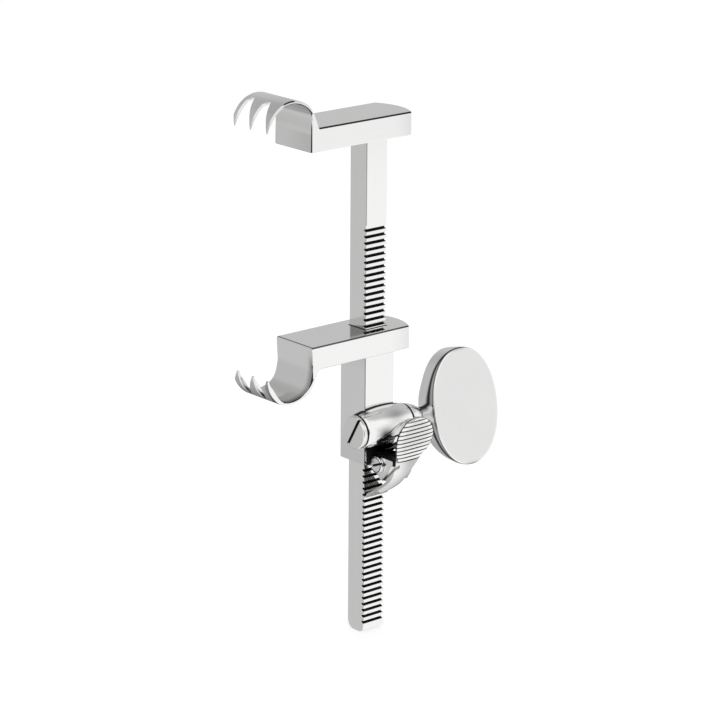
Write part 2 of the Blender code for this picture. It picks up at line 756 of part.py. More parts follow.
def lever_front(z):
    """Front of the lever at a height: the pad's lean above and a swept curve down to the claw below."""
    share = pad_share(z)
    if share >= 0.0:
        bow = 0.7 * math.sin(math.pi * min(share, 1.0))
        return PAD_BOTTOM_Y + (PAD_TOP_Y - PAD_BOTTOM_Y) * share - bow
    drop = (PAD_BOTTOM_Z - z) / (PAD_BOTTOM_Z - LEVER_LOW_Z)
    return PAD_BOTTOM_Y + (LEVER_TIP_Y - PAD_BOTTOM_Y) * drop ** 2.3


def lever_sides(z):
    """Left and right limits of the lever at a height: as wide as the bar at the claw, narrower at the pivot,
    and above it a pad whose oval leans to the right."""
    widest = PAD_TOP_Z - 5.5
    drop = min(max((widest - z) / 16.5, 0.0), 1.0) ** 0.9
    right = PAD_RIGHT - PAD_SPAN * (1.0 - math.cos(math.pi * drop)) / 2.0
    if z < PAD_BOTTOM_Z:
        spread = ease((LEVER_LOW_Z + 9.0 - z) / 5.5)
        return LEVER_LEFT + (CLAW_LEFT - LEVER_LEFT) * spread, right
    rise = min(max((z - PAD_BOTTOM_Z - 3.4) / (PAD_TOP_Z - PAD_BOTTOM_Z - 3.4), 0.0), 0.999)
    left = LEVER_LEFT + (PAD_LEAN - LEVER_LEFT) * (1.0 - math.sqrt(1.0 - rise * rise))
    if z > widest:
        crown = (z - widest) / 5.5
        right = PAD_LEAN + 1.7 + (PAD_RIGHT - PAD_LEAN - 1.7) * math.sqrt(max(1.0 - crown * crown, 0.0))
    return left, right


def lever_back(z):
    """Back of the lever's shell: behind the pad its thin plate, below it the curved web that ends at the claw."""
    if z > PAD_BOTTOM_Z + 1.5:
        return lever_front(z) + PAD_T
    return min(lever_front(z) + WEB_T, CLAW_BACK)


def make_lever(collection, tools, material):
    """The pawl lever: thumb pad and curved web in one, two cheeks round the lug and a claw as wide as the bar."""
    low = LEVER_LOW_Z + 0.65
    levels = [low + rise for rise in (0.0, 0.5, 1.2, 2.0, 3.0, 4.0, 5.1, 6.3, 7.6, 9.0, 10.6, 12.4, 14.2)]
    levels += [PAD_BOTTOM_Z, 69.8, 70.0, 72.0, 74.0, 76.0, 78.0, 79.4, 80.6, 81.3, 81.75, PAD_TOP_Z]
    sections = []
    for z in levels:
        left, right = lever_sides(z)
        undercut = PAD_UNDERCUT if z > PAD_BOTTOM_Z + 1.5 else 0.0
        sections.append(lever_section(z, (left, right), lever_front(z), lever_back(z), undercut))
    item = finish_object("pawl_lever", loft(sections), collection, material, (0.0, PAWL_Y, PAWL_Z))
    combine(item, claw_solid(), "UNION", tools, "claw")
    combine(item, cheek_solid(0.0, LEVER_LEFT + 0.01, LUG_LEFT - RUN), "UNION", tools, "left_cheek")
    combine(item, cheek_solid(0.0, LUG_RIGHT + RUN, PAWL_RIGHT), "UNION", tools, "right_cheek")
    combine(item, cheek_solid(1.0, PAWL_LEFT, LEVER_LEFT + 0.3), "UNION", tools, "raised_cheek")
    combine(item, pad_grooves(), "DIFFERENCE", tools, "grip")
    pin = cylinder(PAWL_LEFT - RUN, PAWL_RIGHT + RUN, PAWL_PIN_R + FIT, 24, PAWL_Y, PAWL_Z)
    combine(item, pin, "DIFFERENCE", tools, "pin_hole")
    return item


def cheek_solid(raised, left, right):
    """A cheek's outline in Y and Z: round the pivot, down to a blunt tip and forward into the web. The raised
    part stops short of the web and leaves a step along its front."""
    points = []
    for k in range(13):
        angle = math.radians(112.0 - 172.0 * k / 12.0)
        points.append((PAWL_Y + CHEEK_R * math.cos(angle), PAWL_Z + CHEEK_R * math.sin(angle)))
    foot = PAWL_Z - 1.75 * CHEEK_R
    points.append((PAWL_Y - 1.0, foot + 0.1))
    if raised:
        points += [(PAWL_Y - 2.4, foot), (PAWL_Y - 7.6, PAWL_Z + 1.6), (PAWL_Y - 7.6, PAWL_Z + 2.9)]
        return prism(points, 0, left, right)
    points += [(PAWL_Y - 2.5, foot - 0.2), (PAWL_Y - 5.1, foot - 0.2)]
    for z in (PAWL_Z - 3.0, PAWL_Z, PAWL_Z + 2.6, PAWL_Z + 3.6):
        points.append((lever_front(z) + WEB_T * 0.5, z))
    return prism(points, 0, left, right)


def pad_grooves():
    """The row of straight V grooves across the thumb pad, one of them along the pad's lower edge."""
    bm = bmesh.new()
    for k in range(PAD_GROOVES):
        z = PAD_BOTTOM_Z + k * PAD_GROOVE_PITCH
        front = lever_front(z)
        half = PAD_GROOVE_W / 2.0
        corners = [
            (front - 1.0, z - 2.0 * half),
            (front, z - half),
            (front + PAD_GROOVE_DEPTH, z),
            (front, z + half),
            (front - 1.0, z + 2.0 * half),
        ]
        rings = []
        for x in (LEVER_LEFT + 0.4, PAD_RIGHT + 3.0):
            rings.append([bm.verts.new((x, y, height)) for y, height in corners])
        join_rings(bm, rings[0], rings[1])
        bm.faces.new(rings[0][::-1])
        bm.faces.new(rings[1])
    return bm


def lever_section(z, sides, front, back, undercut):
    """A section of the lever at a height: a crisp left edge, a front that rounds off to the right and a flat
    back, which the pad draws in at both sides."""
    left, right = sides
    middle = (left + right) / 2.0
    half = (right - left) / 2.0
    points = []
    for k in range(13):
        s = -1.0 + 2.0 * k / 12.0
        bulge = (1.0 - abs(s) ** 2.6) ** 0.5 if abs(s) < 1.0 else 0.0
        depth = (back - front) * (0.45 if undercut > 0.0 or s < 0.0 else 0.72)
        points.append((middle + half * s, front + depth * (1.0 - bulge), z))
    points.append((right - undercut, back, z))
    points.append((left + undercut, back, z))
    return points


def claw_solid():
    """The claw's tooth, just clear of the bar's front and low enough to swing up into a groove."""
    tip = BAR_FRONT - CLAW_GAP
    rise = (tip - PAWL_Y) * math.sin(math.radians(CLAW_SWING))
    centre = CLAW_Z - rise
    flat = GROOVE_FLOOR / 2.0 - 0.08
    mouth = GROOVE_MOUTH / 2.0 - 0.08
    base = tip - GROOVE_DEPTH * 0.85
    points = [
        (base, centre - flat - 0.12),
        (tip, centre - flat),
        (tip, centre + flat),
        (base, centre + mouth),
        (base - 0.75, centre + mouth + 0.45),
        (base - 1.1, centre + mouth - 0.15),
    ]
    return prism(points, 0, CLAW_LEFT + 0.01, -CLAW_LEFT - 0.01)


def make_pawl_screw(collection, tools, material):
    """The slotted screw that the pawl lever turns on."""
    cheek = PAWL_LEFT - RUN
    face = cheek - PAWL_HEAD_T
    end = PAWL_RIGHT - 0.8
    profile = [
        (face, 0.0),
        (face, PAWL_HEAD_R - 0.25),
        (face + 0.25, PAWL_HEAD_R),
        (cheek, PAWL_HEAD_R),
        (cheek, PAWL_PIN_R),
        (end, PAWL_PIN_R),
        (end, 0.0),
    ]
    bm = revolve(profile, 32, PAWL_Y, PAWL_Z)
    item = finish_object("pawl_screw", bm, collection, material, (cheek, PAWL_Y, PAWL_Z))
    slot = slot_cutter(face, 1, PAWL_Y, PAWL_Z, PAWL_HEAD_R + 1.0, 0.7, PAWL_SLOT_ANGLE)
    combine(item, slot, "DIFFERENCE", tools, "slot")
    return item


def make_spring(collection, material):
    """The leaf spring that rises from the lug, under the housing, to the back of the pad."""
    low = (LUG_LEFT + LUG_RIGHT) / 2.0 - SPRING_W / 2.0
    path = []
    for k in range(13):
        share = k / 12.0
        y = LUG_FRONT - SPRING_LEN * share
        z = SPRING_Z + SPRING_RISE * share - 0.4 * math.sin(math.pi * share)
        path.append((y, z))
    lower = [(y, z - SPRING_T) for y, z in path[::-1]]
    return finish_object("pawl_spring", prism(path + lower, 0, low, low + SPRING_W), collection, material)


def build():
    """Make every piece in its place."""
    clear_scene()
    collection = make_collection("rib_contractor")
    tools = make_collection("cutters")
    steel = make_material("polished_steel", (0.78, 0.78, 0.77), 0.12)
    screw = make_material("screw_steel", (0.72, 0.72, 0.72), 0.2)
    spring = make_material("spring_steel", (0.55, 0.56, 0.58), 0.25)
    make_bar(collection, steel)
    make_upper_arm(collection, tools, steel)
    make_lower_arm(collection, tools, steel)
    make_sleeve(collection, tools, steel)
    make_housing(collection, tools, steel)
    make_bearing_screw(collection, tools, screw)
    make_end_bush(collection, tools, steel)
    make_pinion(collection, tools, steel)
    make_key(collection, tools, steel)
    make_lever(collection, tools, steel)
    make_pawl_screw(collection, tools, screw)
    make_spring(collection, spring)
    for item in collection.objects:
        smooth(item)


build()
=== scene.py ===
import math
from functools import partial

import bpy
import numpy as np
from mathutils import Matrix, Vector


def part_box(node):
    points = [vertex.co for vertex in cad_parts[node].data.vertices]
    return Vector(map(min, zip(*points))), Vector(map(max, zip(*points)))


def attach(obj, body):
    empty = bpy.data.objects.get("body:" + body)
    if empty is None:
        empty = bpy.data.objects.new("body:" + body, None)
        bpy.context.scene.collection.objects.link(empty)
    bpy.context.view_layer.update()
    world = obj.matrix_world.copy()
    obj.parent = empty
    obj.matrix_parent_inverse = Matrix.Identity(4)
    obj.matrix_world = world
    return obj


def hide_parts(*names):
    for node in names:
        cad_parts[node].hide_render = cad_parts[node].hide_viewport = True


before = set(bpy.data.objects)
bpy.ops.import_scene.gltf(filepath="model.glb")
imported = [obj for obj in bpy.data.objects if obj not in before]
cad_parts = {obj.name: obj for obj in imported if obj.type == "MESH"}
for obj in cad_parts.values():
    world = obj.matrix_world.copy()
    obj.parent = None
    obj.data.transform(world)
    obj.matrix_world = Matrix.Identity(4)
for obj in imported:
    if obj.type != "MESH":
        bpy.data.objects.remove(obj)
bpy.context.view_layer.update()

bl_info = {
    "name": "Rib contractor finish",
    "version": (1, 0, 0),
    "blender": (4, 5, 0),
    "location": "3D View > Sidebar > Contractor",
    "description": "Polished steel finish, rounded edges and studio for the rib contractor",
    "category": "Object",
}

MM = 0.001

# Sizes of the new surfaces, in millimetres and degrees; most of them are the CAD's own
AXIS_Y, AXIS_Z = -7.5384, 78.8
SLEEVE_W, SLEEVE_FRONT = 13.4, -6.6
SHAFT_R, SHAFT_GAP = 2.5, 0.05
HOUSING_LEFT, HOUSING_RIGHT = -10.7, 11.4
HOUSING_END_R, HOUSING_MID_R, HOUSING_SHOULDER_R = 6.0, 7.25, 5.85
BUSH_END, BUSH_TIP_R, BUSH_STEP = 17.5, 3.35, 0.3
LUG_R, LUG_LEFT, LUG_RIGHT, LUG_TOP, LUG_BACK, LUG_TURN = 2.6, -0.8, 4.2, 73.6, -9.0, 315.0
BOSS_RIGHT, BOSS_LOW, LUG_CHAMFER = 8.2, 69.2, 0.1
HEAD_R, HEAD_T, HEAD_GAP, HEAD_NECK_R, HEAD_ROUND = 6.0, 2.1, 0.45, 5.2, 0.6
KEY_START, KEY_NECK_R, KEY_NECK_SPREAD, KEY_NECK_BACK = 17.6, 3.0, 11.0, 0.6
KEY_X, KEY_HALF_LEN, KEY_HALF_HEIGHT, KEY_POWER = 37.4, 15.3, 21.4, 2.1
KEY_FRONT, KEY_ROOT_T, KEY_SIDE_T, KEY_MID_T, KEY_THIN = 4.0, 9.6, 8.2, 5.4, 2.4
KEY_TILT, KEY_EDGE, KEY_BACK_EDGE, KEY_BACK_START = 11.6, 0.5, 0.9, 1.4
PAWL_Y, PAWL_Z, PAWL_LEFT, PAWL_RIGHT = -10.0, 65.7, -3.1, 6.2
PAWL_HEAD_R, PAWL_HEAD_T, PAWL_PIN_R, PAWL_HEAD_ROUND, LEVER_LEFT = 3.15, 1.2, 1.25, 0.4, -2.4
SLOT_W, PAWL_SLOT_W, SLOT_DEPTH, SLOT_EDGE = 0.85, 0.7, 0.9, 0.12
BEARING_SLOT_ANGLE, PAWL_SLOT_ANGLE = 120.0, -22.0
PAD_BOTTOM_Y, PAD_TOP_Y, PAD_BULGE = -19.6, -17.1, 2.8
PAD_BOTTOM_Z, PAD_TOP_Z, PAD_GROOVE_PITCH = 68.4, 82.0, 1.28
ARM_D, ARM_T, ARM_RIGHT, ARM_CORNER_X, ARM_BOW_START = 19.6, 8.35, 13.9, 10.9, 6.0
UPPER_ARM_Z, LOWER_ARM_Z = 182.9, 105.9
UPPER_END_X, LOWER_END_X = -34.0, -33.45
UPPER_HOOK_X, UPPER_HOOK_RISE, UPPER_HOOK_R, UPPER_DRAW = -42.2, 7.6, 11.55, 0.45
UPPER_ROOT_T, UPPER_PLATE_T, UPPER_TIP_ANGLE, UPPER_SPLIT_ANGLE = 3.2, 1.1, 171.0, 111.0
UPPER_GAPS, UPPER_PRONG_ROOT, UPPER_PRONG_END = (7.5, -1.0), 6.5, 0.3
LOWER_HOOK_X, LOWER_HOOK_RISE, LOWER_HOOK_R, LOWER_DRAW = -42.7, 1.5, 11.45, 1.0
LOWER_PLATE_T, LOWER_ROOT_EXTRA, LOWER_PRONG_EXTRA = 1.15, 0.65, 0.6
LOWER_TIP_ANGLE, LOWER_SPLIT_ANGLE, LOWER_FILLET, LOWER_FILLET_ANGLE = 172.0, 118.0, 2.2, 6.0
LOWER_GAPS, LOWER_PRONG_ROOT, LOWER_PRONG_END = (6.4, -1.9), 7.0, 0.9
PRONG_ROUND, PRONG_GAP, FACE_REACH = 0.32, 0.8, 0.12
# ARM_EDGE_LINE and ARM_RIM_LINE say how far from the arms' front the painted dark reflections reach
ARM_FRONT, ARM_EDGE_LINE, ARM_RIM_LINE = -ARM_D / 2.0, 0.50, 0.34
WINDOW_X, WINDOW_Y, WINDOW_ROUND = 4.9, 4.5, 0.08

# How far a flat stays behind the sleeve's front, bodies run into each other and two stations stand apart
TOUCH, OVERLAP, APART = 0.01, 0.02, 0.04

# The steel: how far its shade, its roughness and its surface vary, with noise scales in cycles per metre
STREAK_SCALE, STREAK_LONG_SCALE, CLOUD_SCALE = 900.0, 45.0, 70.0
SCRATCH_TURN, SCRATCH_SCALE = (0.3, 0.5, 0.2), (2600.0, 500.0, 2600.0)
SHADE_MEAN, SHADE_CLOUD, SHADE_STREAK, SHADE_FLOOR = 0.965, 0.05, 0.04, 0.12
ROUGH_STREAK, ROUGH_CLOUD = 0.035, 0.04
BUMP_STRENGTH, BUMP_DISTANCE, BUMP_STREAK = 0.035, 0.0001, 0.6
# A nearly black rough surface, mixed into the steel where dark reflections and shade are painted on
PAINTED_DARK_SURFACE = {"Base Color": (0.006, 0.006, 0.007, 1.0), "Roughness": 0.6, "Specular IOR Level": 0.2}
SPRING_TINT, SPRING_GLOSS = (0.30, 0.30, 0.31), 0.22
SCREW_TINT, SCREW_EXTRA_GLOSS, LEVER_EXTRA_GLOSS = (0.82, 0.82, 0.815), 0.08, 0.03
SHARP_ANGLE, BEVEL_ANGLE, BAR_BEVEL, WELD_REACH, MERGE_REACH = 30.0, 40.0, 0.1, 0.002, 0.0005
ALONG_X, ALONG_Y, ALONG_Z = 0, 1, 2

# The studio that the steel mirrors: its brightness, then patches as a direction, the cosines where the patch
# begins and is full, and its brightness there
STUDIO_LIGHT = 1.08
STUDIO_PATCHES = (
    ((-0.62, 0.73, -0.29), 0.72, 0.93, 0.62),
    ((0.62, 0.73, 0.29), 0.45, 0.90, 0.60),
    ((0.62, -0.78, 0.08), 0.93, 0.992, 0.92),
    ((-0.10, 0.73, 0.68), 0.80, 0.95, 0.50),
    ((-0.50, 0.80, 0.20), 0.84, 0.97, 0.56),
    ((-0.06, 0.73, -0.68), 0.87, 0.97, 0.45),
    ((0.62, -0.05, 0.78), 0.82, 0.97, 0.62),
    ((-0.55, -0.74, 0.02), 0.90, 0.965, 0.05),
)
FLOOR_SHADE, FLOOR_GLOW, FLOOR_DROP = 0.93, 0.62, 0.0001
SENSOR_W, CLIP = 36.0, (0.01, 50.0)
LAMP_AIM = (0.0, 0.0, 0.1)
LAMPS = (("key_lamp", (-0.7, -0.9, 1.3), 0.9, 9.0), ("top_lamp", (0.5, 0.4, 1.5), 1.2, 8.0))
WHITE = (1.0, 1.0, 1.0, 1.0)


def node_box(name):
    """Lowest and highest corner of a CAD node in millimetres, as two lists."""
    return [[float(part) / MM for part in corner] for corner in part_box(name)]


def joined(operation, swap=False):
    """A method that joins a socket and another value by one Math node, or the value and the socket if swapped."""
    return lambda self, other: self.math(operation, other, swap)


class Socket:
    """A shader socket whose sums, products and comparisons add the Math nodes that work them out.

    Above and below are 1 where the socket is above or below the other value; either is the larger of the two.
    """

    def __init__(self, tree, link):
        self.tree = tree
        self.link = link

    def math(self, operation, other=None, swap=False):
        """One Math node on this socket and another value."""
        values = [other, self] if swap else [self, other]
        return self.tree.node("ShaderNodeMath", {"operation": operation}, values)

    __add__, __radd__ = joined("ADD"), joined("ADD", swap=True)
    __sub__, __rsub__ = joined("SUBTRACT"), joined("SUBTRACT", swap=True)
    __mul__, __rmul__ = joined("MULTIPLY"), joined("MULTIPLY", swap=True)
    __truediv__, power, either = joined("DIVIDE"), joined("POWER"), joined("MAXIMUM")
    above, below = joined("GREATER_THAN"), joined("LESS_THAN")

    def between(self, low, high):
        """1 where this socket lies between two values."""
        return self.above(low) * self.below(high)

    def capped(self):
        """This socket, held down to 1."""
        return self.math("MINIMUM", 1.0)

    def size(self):
        """The value without its sign."""
        return self.math("ABSOLUTE")

    def step(self, low, high):
        """A smooth step from 0 at low to 1 at high."""
        settings = {"interpolation_type": "SMOOTHSTEP", "clamp": True}
        return self.tree.node("ShaderNodeMapRange", settings, {"Value": self, "From Min": low, "From Max": high})


class Tree:
    """A node tree that is written as calls: one method adds any node, and helpers name the common ones."""

    def __init__(self, owner):
        owner.use_nodes = True
        self.nodes = owner.node_tree.nodes
        self.links = owner.node_tree.links
        self.nodes.clear()

    def node(self, kind, settings=None, values=None, output=0):
        """Add a node, set its settings, fill its sockets with numbers or links, and give back one output.

        Values are a list in the order of the sockets, or a dictionary by a socket's name or number.
        """
        made = self.nodes.new(kind)
        for key, value in (settings or {}).items():
            setattr(made, key, value)
        if isinstance(values, dict):
            pairs = [(made.inputs[key], value) for key, value in values.items()]
        else:
            pairs = list(zip(made.inputs, values or []))
        for socket, value in pairs:
            if isinstance(value, Socket):
                self.links.new(value.link, socket)
            elif value is not None:
                socket.default_value = value
        return Socket(self, made.outputs[output]) if len(made.outputs) else None

    def blend(self, factor, first, second):
        """A colour between two, by a factor."""
        return self.node("ShaderNodeMix", {"data_type": "RGBA"}, {0: factor, 6: first, 7: second}, output=2)

    def noise(self, place, scale, detail=3.0, roughness=0.5):
        """Noise between 0 and 1 at a place."""
        values = {"Vector": place, "Scale": scale, "Detail": detail, "Roughness": roughness}
        return self.node("ShaderNodeTexNoise", values=values)

    def place(self, turn=(0.0, 0.0, 0.0), scale=(1.0, 1.0, 1.0)):
        """Object coordinates in metres, turned and scaled."""
        here = self.node("ShaderNodeTexCoord", output="Object")
        values = {"Vector": here, "Rotation": turn, "Scale": scale}
        return self.node("ShaderNodeMapping", {"vector_type": "POINT"}, values)

    def millimetres(self):
        """The X, Y and Z parts of the object coordinates, in millimetres."""
        split = self.node("ShaderNodeSeparateXYZ", values=[self.place(scale=(1.0 / MM,) * 3)])
        return [Socket(self, end) for end in split.link.node.outputs]

    def camera_ray(self):
        """1 for rays that come straight from the camera."""
        return self.node("ShaderNodeLightPath", output="Is Camera Ray")


def steel_material(name, tint, gloss, streak_axis, dark_paint=None):
    """Polished stainless steel: long faint buffing streaks, small scratches and a cloudy roughness.

    Where dark reflections and shade are painted on, a nearly black rough surface is mixed in.
    """
    material = bpy.data.materials.new(name)
    tree = Tree(material)
    streak_scale = [STREAK_SCALE] * 3
    streak_scale[streak_axis] = STREAK_LONG_SCALE
    streaks = tree.noise(tree.place(scale=tuple(streak_scale)), 1.0, 4.0, 0.6)
    cloud = tree.noise(tree.place(), CLOUD_SCALE, 3.0, 0.55)
    scratches = tree.noise(tree.place(SCRATCH_TURN, SCRATCH_SCALE), 1.0, 2.0, 0.5)
    shade = SHADE_MEAN + SHADE_CLOUD * (cloud - 0.5) + SHADE_STREAK * (streaks - 0.5)
    floor = tuple(part * SHADE_FLOOR for part in tint) + (1.0,)
    height = BUMP_STREAK * streaks + (1.0 - BUMP_STREAK) * scratches
    bump = {"Strength": BUMP_STRENGTH, "Distance": BUMP_DISTANCE, "Height": height}
    values = {
        "Base Color": tree.blend(shade, floor, (*tint, 1.0)),
        "Metallic": 1.0,
        "Roughness": gloss + ROUGH_STREAK * (streaks - 0.5) + ROUGH_CLOUD * cloud.step(0.35, 0.75),
        "Normal": tree.node("ShaderNodeBump", values=bump),
    }
    shader = tree.node("ShaderNodeBsdfPrincipled", values=values)
    # Mix in the nearly black surface where dark reflections and shade are painted on
    if dark_paint is not None:
        painted_dark_shader = tree.node("ShaderNodeBsdfPrincipled", values=PAINTED_DARK_SURFACE)
        shader = tree.node("ShaderNodeMixShader", values=[dark_paint(tree), shader, painted_dark_shader])
    tree.node("ShaderNodeOutputMaterial", values={"Surface": shader})
    return material


def bell_mark(value, centre, width):
    """A soft bump of a socket in millimetres: 1 at the centre, 0 beyond twice the width."""
    return (value - centre).size().step(2.0 * width, 0.0)


def offsets(first, second, first_middle, second_middle):
    """Two offsets from a middle and the distance from it, the root of the sum of their squares."""
    first, second = first - first_middle, second - second_middle
    return first, second, (first * first + second * second).power(0.5)


def rack_dark_paint(tree):
    """Painted shade in the grooves, where no light gets in, and a thin painted dark reflection along the bar's
    corner.

    The grooves are the band just behind the teeth's tips; the line is a strip of the plain front above them.
    """
    x, y, z = tree.millimetres()
    left, front = node_box("rack_bar")[0][:2]
    tips, roots, side_gap, teeth_low, teeth_high = 0.08, 1.3, 0.06, 3.3, 151.2
    line_w, line_low, line_shade = 0.32, 152.0, 0.55
    inside = y.between(front + tips, front + roots) * x.size().below(-left - side_gap)
    grooves = inside * z.between(teeth_low, teeth_high)
    corner = y.below(front + FACE_REACH) * x.below(left + line_w) * z.above(line_low) * line_shade
    return grooves + corner * (1.0 - grooves)


def upper_arm_dark_paint(x, z, edge_line, rim_line):
    """Painted dark reflections along the fixed arm's top front edge, the outer rim of its hook's bow, the inner rim
    and the end face's edge.
    """
    low, top = UPPER_ARM_Z, UPPER_ARM_Z + ARM_T
    across, up, reach = offsets(x, z, UPPER_HOOK_X, low + UPPER_HOOK_RISE)
    outer_w, inner_w, side_w = 0.42, 0.25, 0.38
    edge = z.between(top - 0.5, top + 0.1) * x.above(UPPER_HOOK_X + 11.7)
    bow = up.above(8.0) * reach.above(UPPER_HOOK_R - outer_w) * across.step(-4.4, -3.0) * across.step(1.4, 0.2)
    arch = up.above(6.0) * reach.below(UPPER_HOOK_R - UPPER_PLATE_T + inner_w) * across.step(-4.8, -2.8)
    side = up.below(6.3) * across.above(0.0) * x.below(UPPER_END_X + side_w) * z.above(low + 0.2)
    return (edge_line * (edge + bow) + rim_line * (arch + side)) * z.above(low - 1.0)


def lower_arm_dark_paint(x, y, z, edge_line, rim_line):
    """Painted dark reflections along the sliding arm's top front edge, its hook's inner rim, the end face's edge
    and the window's rim, then soft painted dark reflections in its flat top, in the hook's inside and in a prong."""
    low, top = LOWER_ARM_Z, LOWER_ARM_Z + ARM_T
    across, up, reach = offsets(x, z, LOWER_HOOK_X, low + LOWER_HOOK_RISE)
    inner_w, side_w, rim_w, window_w = 0.57, 0.42, 0.62, 0.32
    edge = z.between(top - 0.42, top + 0.1) * x.above(LOWER_END_X) * 0.9
    arch = up.below(-4.3) * reach.below(LOWER_HOOK_R - inner_w) * across.above(-3.5)
    side = up.between(-4.4, 0.5) * across.above(0.0) * x.below(LOWER_END_X + side_w)
    lines = (edge_line * edge + rim_line * (arch + side)) * z.below(low + 12.0)
    on_top = z.between(top - FACE_REACH, top + 0.1)
    rim = on_top * x.below(LOWER_END_X + rim_w) * 0.8
    window = x.size().below(WINDOW_X + window_w) * y.size().below(WINDOW_Y + window_w)
    slant = 2.71 * x - 2.3 * y
    image = 0.62 * slant.step(-22.5, -21.0) * slant.step(0.0, -2.5) * x.below(3.0) * y.step(-10.5, -6.0)
    inner = x.below(LOWER_END_X + 1.0) * z.below(top - 1.0) * y.above(-9.5)
    # A soft painted dark reflection in the hook's inside
    hook_image = 0.50 * y.step(-6.4, -9.2) * z.step(top - 1.0, low + 1.5) + 0.22 * z.step(low - 6.0, low - 9.5)
    prong = 0.62 * bell_mark(across, -5.6, 2.2) * reach.above(LOWER_HOOK_R - 1.35)
    prong = prong * up.below(0.0) * y.above(-9.4)
    return lines + rim + on_top * window.either(image) + inner * hook_image + prong


def arm_dark_paint(tree):
    """Painted dark reflections along the arms' edges and round the hooks' rims, and painted shade towards the far
    ends.
    """
    x, y, z = tree.millimetres()
    edge_line, rim_line = y.below(ARM_FRONT + ARM_EDGE_LINE), y.below(ARM_FRONT + ARM_RIM_LINE)
    upper = upper_arm_dark_paint(x, z, edge_line, rim_line)
    lower = lower_arm_dark_paint(x, y, z, edge_line, rim_line)
    # Painted shade: the fronts darker towards the right, the fixed arm's end face darker towards the front
    right_shade, left_shade = 0.16, 0.14
    right = x.step(2.0, 15.0) * y.below(ARM_FRONT + 0.1) * right_shade
    left = x.below(UPPER_END_X + 0.1) * z.above(UPPER_ARM_Z - 1.0) * y.step(8.0, -10.0) * left_shade
    return (upper + lower + right + left).capped()


def sleeve_dark_paint(tree):
    """A thin painted dark reflection along the sleeve's left front corner, painted shade on its left face
    and painted shade in the recess low in front.
    """
    x, y, z = tree.millimetres()
    left, front = -SLEEVE_W / 2.0, SLEEVE_FRONT + 0.1
    line_w, line_shade, low_shade, high_shade, recess_top = 0.30, 0.8, 0.10, 0.08, 71.8
    corner = y.below(front) * x.below(left + line_w) * line_shade
    side = x.below(left + 0.05) * (low_shade * z.step(84.0, 66.0) + high_shade * z.step(98.0, 106.0))
    recess = x.above(left + 0.9) * y.below(front) * z.below(recess_top)
    return (corner + side + recess).capped()


def housing_dark_paint(tree):
    """Painted shade in the seams at the sleeve and the bush, at the barrel's left end, in the recess below the
    barrel and at its top left corner, and soft painted dark reflections in the barrel.
    """
    x, y, z = tree.millimetres()
    seam = y.above(SLEEVE_FRONT - 1.0) * z.above(AXIS_Z) * x.below(SLEEVE_W / 2.0 + 1.0)
    ring = x.between(HOUSING_RIGHT - 1.3, HOUSING_RIGHT - 0.15)
    start = x.below(HOUSING_LEFT + 0.3)
    recess = z.below(71.75).either(z.below(73.7) * y.above(-9.1))
    image = 0.95 * bell_mark(x, -3.5, 2.6) * bell_mark(z, 77.9, 1.9) * y.below(AXIS_Y)
    # A soft painted grey reflection high on the barrel
    glow = 0.42 * bell_mark(x, 2.5, 3.4) * bell_mark(z, 83.6, 1.5)
    # Painted shade where the barrel's top left meets the sleeve's corner
    corner_shade = 0.85 * bell_mark(x, -7.8, 1.1) * z.step(83.2, 84.2) * y.above(-9.4)
    return (seam + ring + start + recess + image + glow + corner_shade).capped()


def key_dark_paint(tree):
    """Painted dark reflections in the key's rim that follow its front edge and widen at the neck, with painted grey
    between.

    Depth is measured back from the flat front. The band's depth follows a half ellipse over the plate's height.
    """
    x, y, z = tree.millimetres()
    tilt = math.radians(KEY_TILT)
    forward, up = y - AXIS_Y, z - AXIS_Z
    depth = KEY_FRONT + forward * math.cos(tilt) - up * math.sin(tilt)
    rise = forward * math.sin(tilt) + up * math.cos(tilt)
    band_depth, band_w, neck_depth, neck_w = 2.83, 0.52, 0.6, 0.55
    edge_shade, band_shade, grey_shade = 0.75, 0.97, 0.35
    left = x.step(KEY_X + 6.0, KEY_X + 1.0)
    near = rise.size().step(12.0, 1.0)
    share = rise / KEY_HALF_HEIGHT
    centre = band_depth * (1.0 - share * share).either(0.0).power(0.5) + neck_depth * near
    edge = bell_mark(depth, 0.55, 0.22) * edge_shade
    band = bell_mark(depth, centre, band_w + neck_w * near) * band_shade
    grey = depth.step(0.4, 0.9) * (centre - depth).step(0.0, 0.5) * grey_shade
    return (left * (edge + band + grey)).capped()


def lever_dark_paint(tree):
    """Painted shade in the valleys between the pad's ridges, in the hollow behind the pad and between the cheeks,
    painted dark lines round the pad and down the blade, and painted shade that deepens to the right and low down.

    The pad's front is a parabola over its height. The valleys lie in the middle of every pitch up the pad.
    """
    x, y, z = tree.millimetres()
    share = (z - PAD_BOTTOM_Z) / (PAD_TOP_Z - PAD_BOTTOM_Z)
    front = PAD_BOTTOM_Y + (PAD_TOP_Y - PAD_BOTTOM_Y) * share - PAD_BULGE * share * (1.0 - share)
    pad = z.between(PAD_BOTTOM_Z - 0.35, PAD_TOP_Z - 0.8)
    deep = y - front
    valley_shade, right_shade, low_shade, outline_shade, edge_shade = 0.9, 0.42, 0.30, 0.8, 0.75
    pitch = (z - (PAD_BOTTOM_Z - PAD_GROOVE_PITCH / 2.0)) / PAD_GROOVE_PITCH
    valley = (pitch.math("FRACT") - 0.5).size().step(0.20, 0.10) * pad * deep.below(0.9)
    hollow = deep.above(1.15) * z.between(66.6, 72.4) * x.above(PAWL_LEFT + 0.05)
    cheek = x.between(LEVER_LEFT + 0.3, PAWL_RIGHT - 0.5) * y.above(-14.5) * z.above(63.0)
    shade = right_shade * x.step(-3.0, 4.5) * z.below(PAD_BOTTOM_Z) + low_shade * z.step(65.0, 57.0)
    outline = outline_shade * deep.between(0.75, 1.5) * z.above(PAD_BOTTOM_Z + 0.2)
    edge = edge_shade * bell_mark(z + 0.95 * y, 48.5, 0.5) * x.below(-1.0) * z.between(60.0, 69.0)
    return (valley_shade * valley + hollow + cheek + shade + outline + edge).capped()


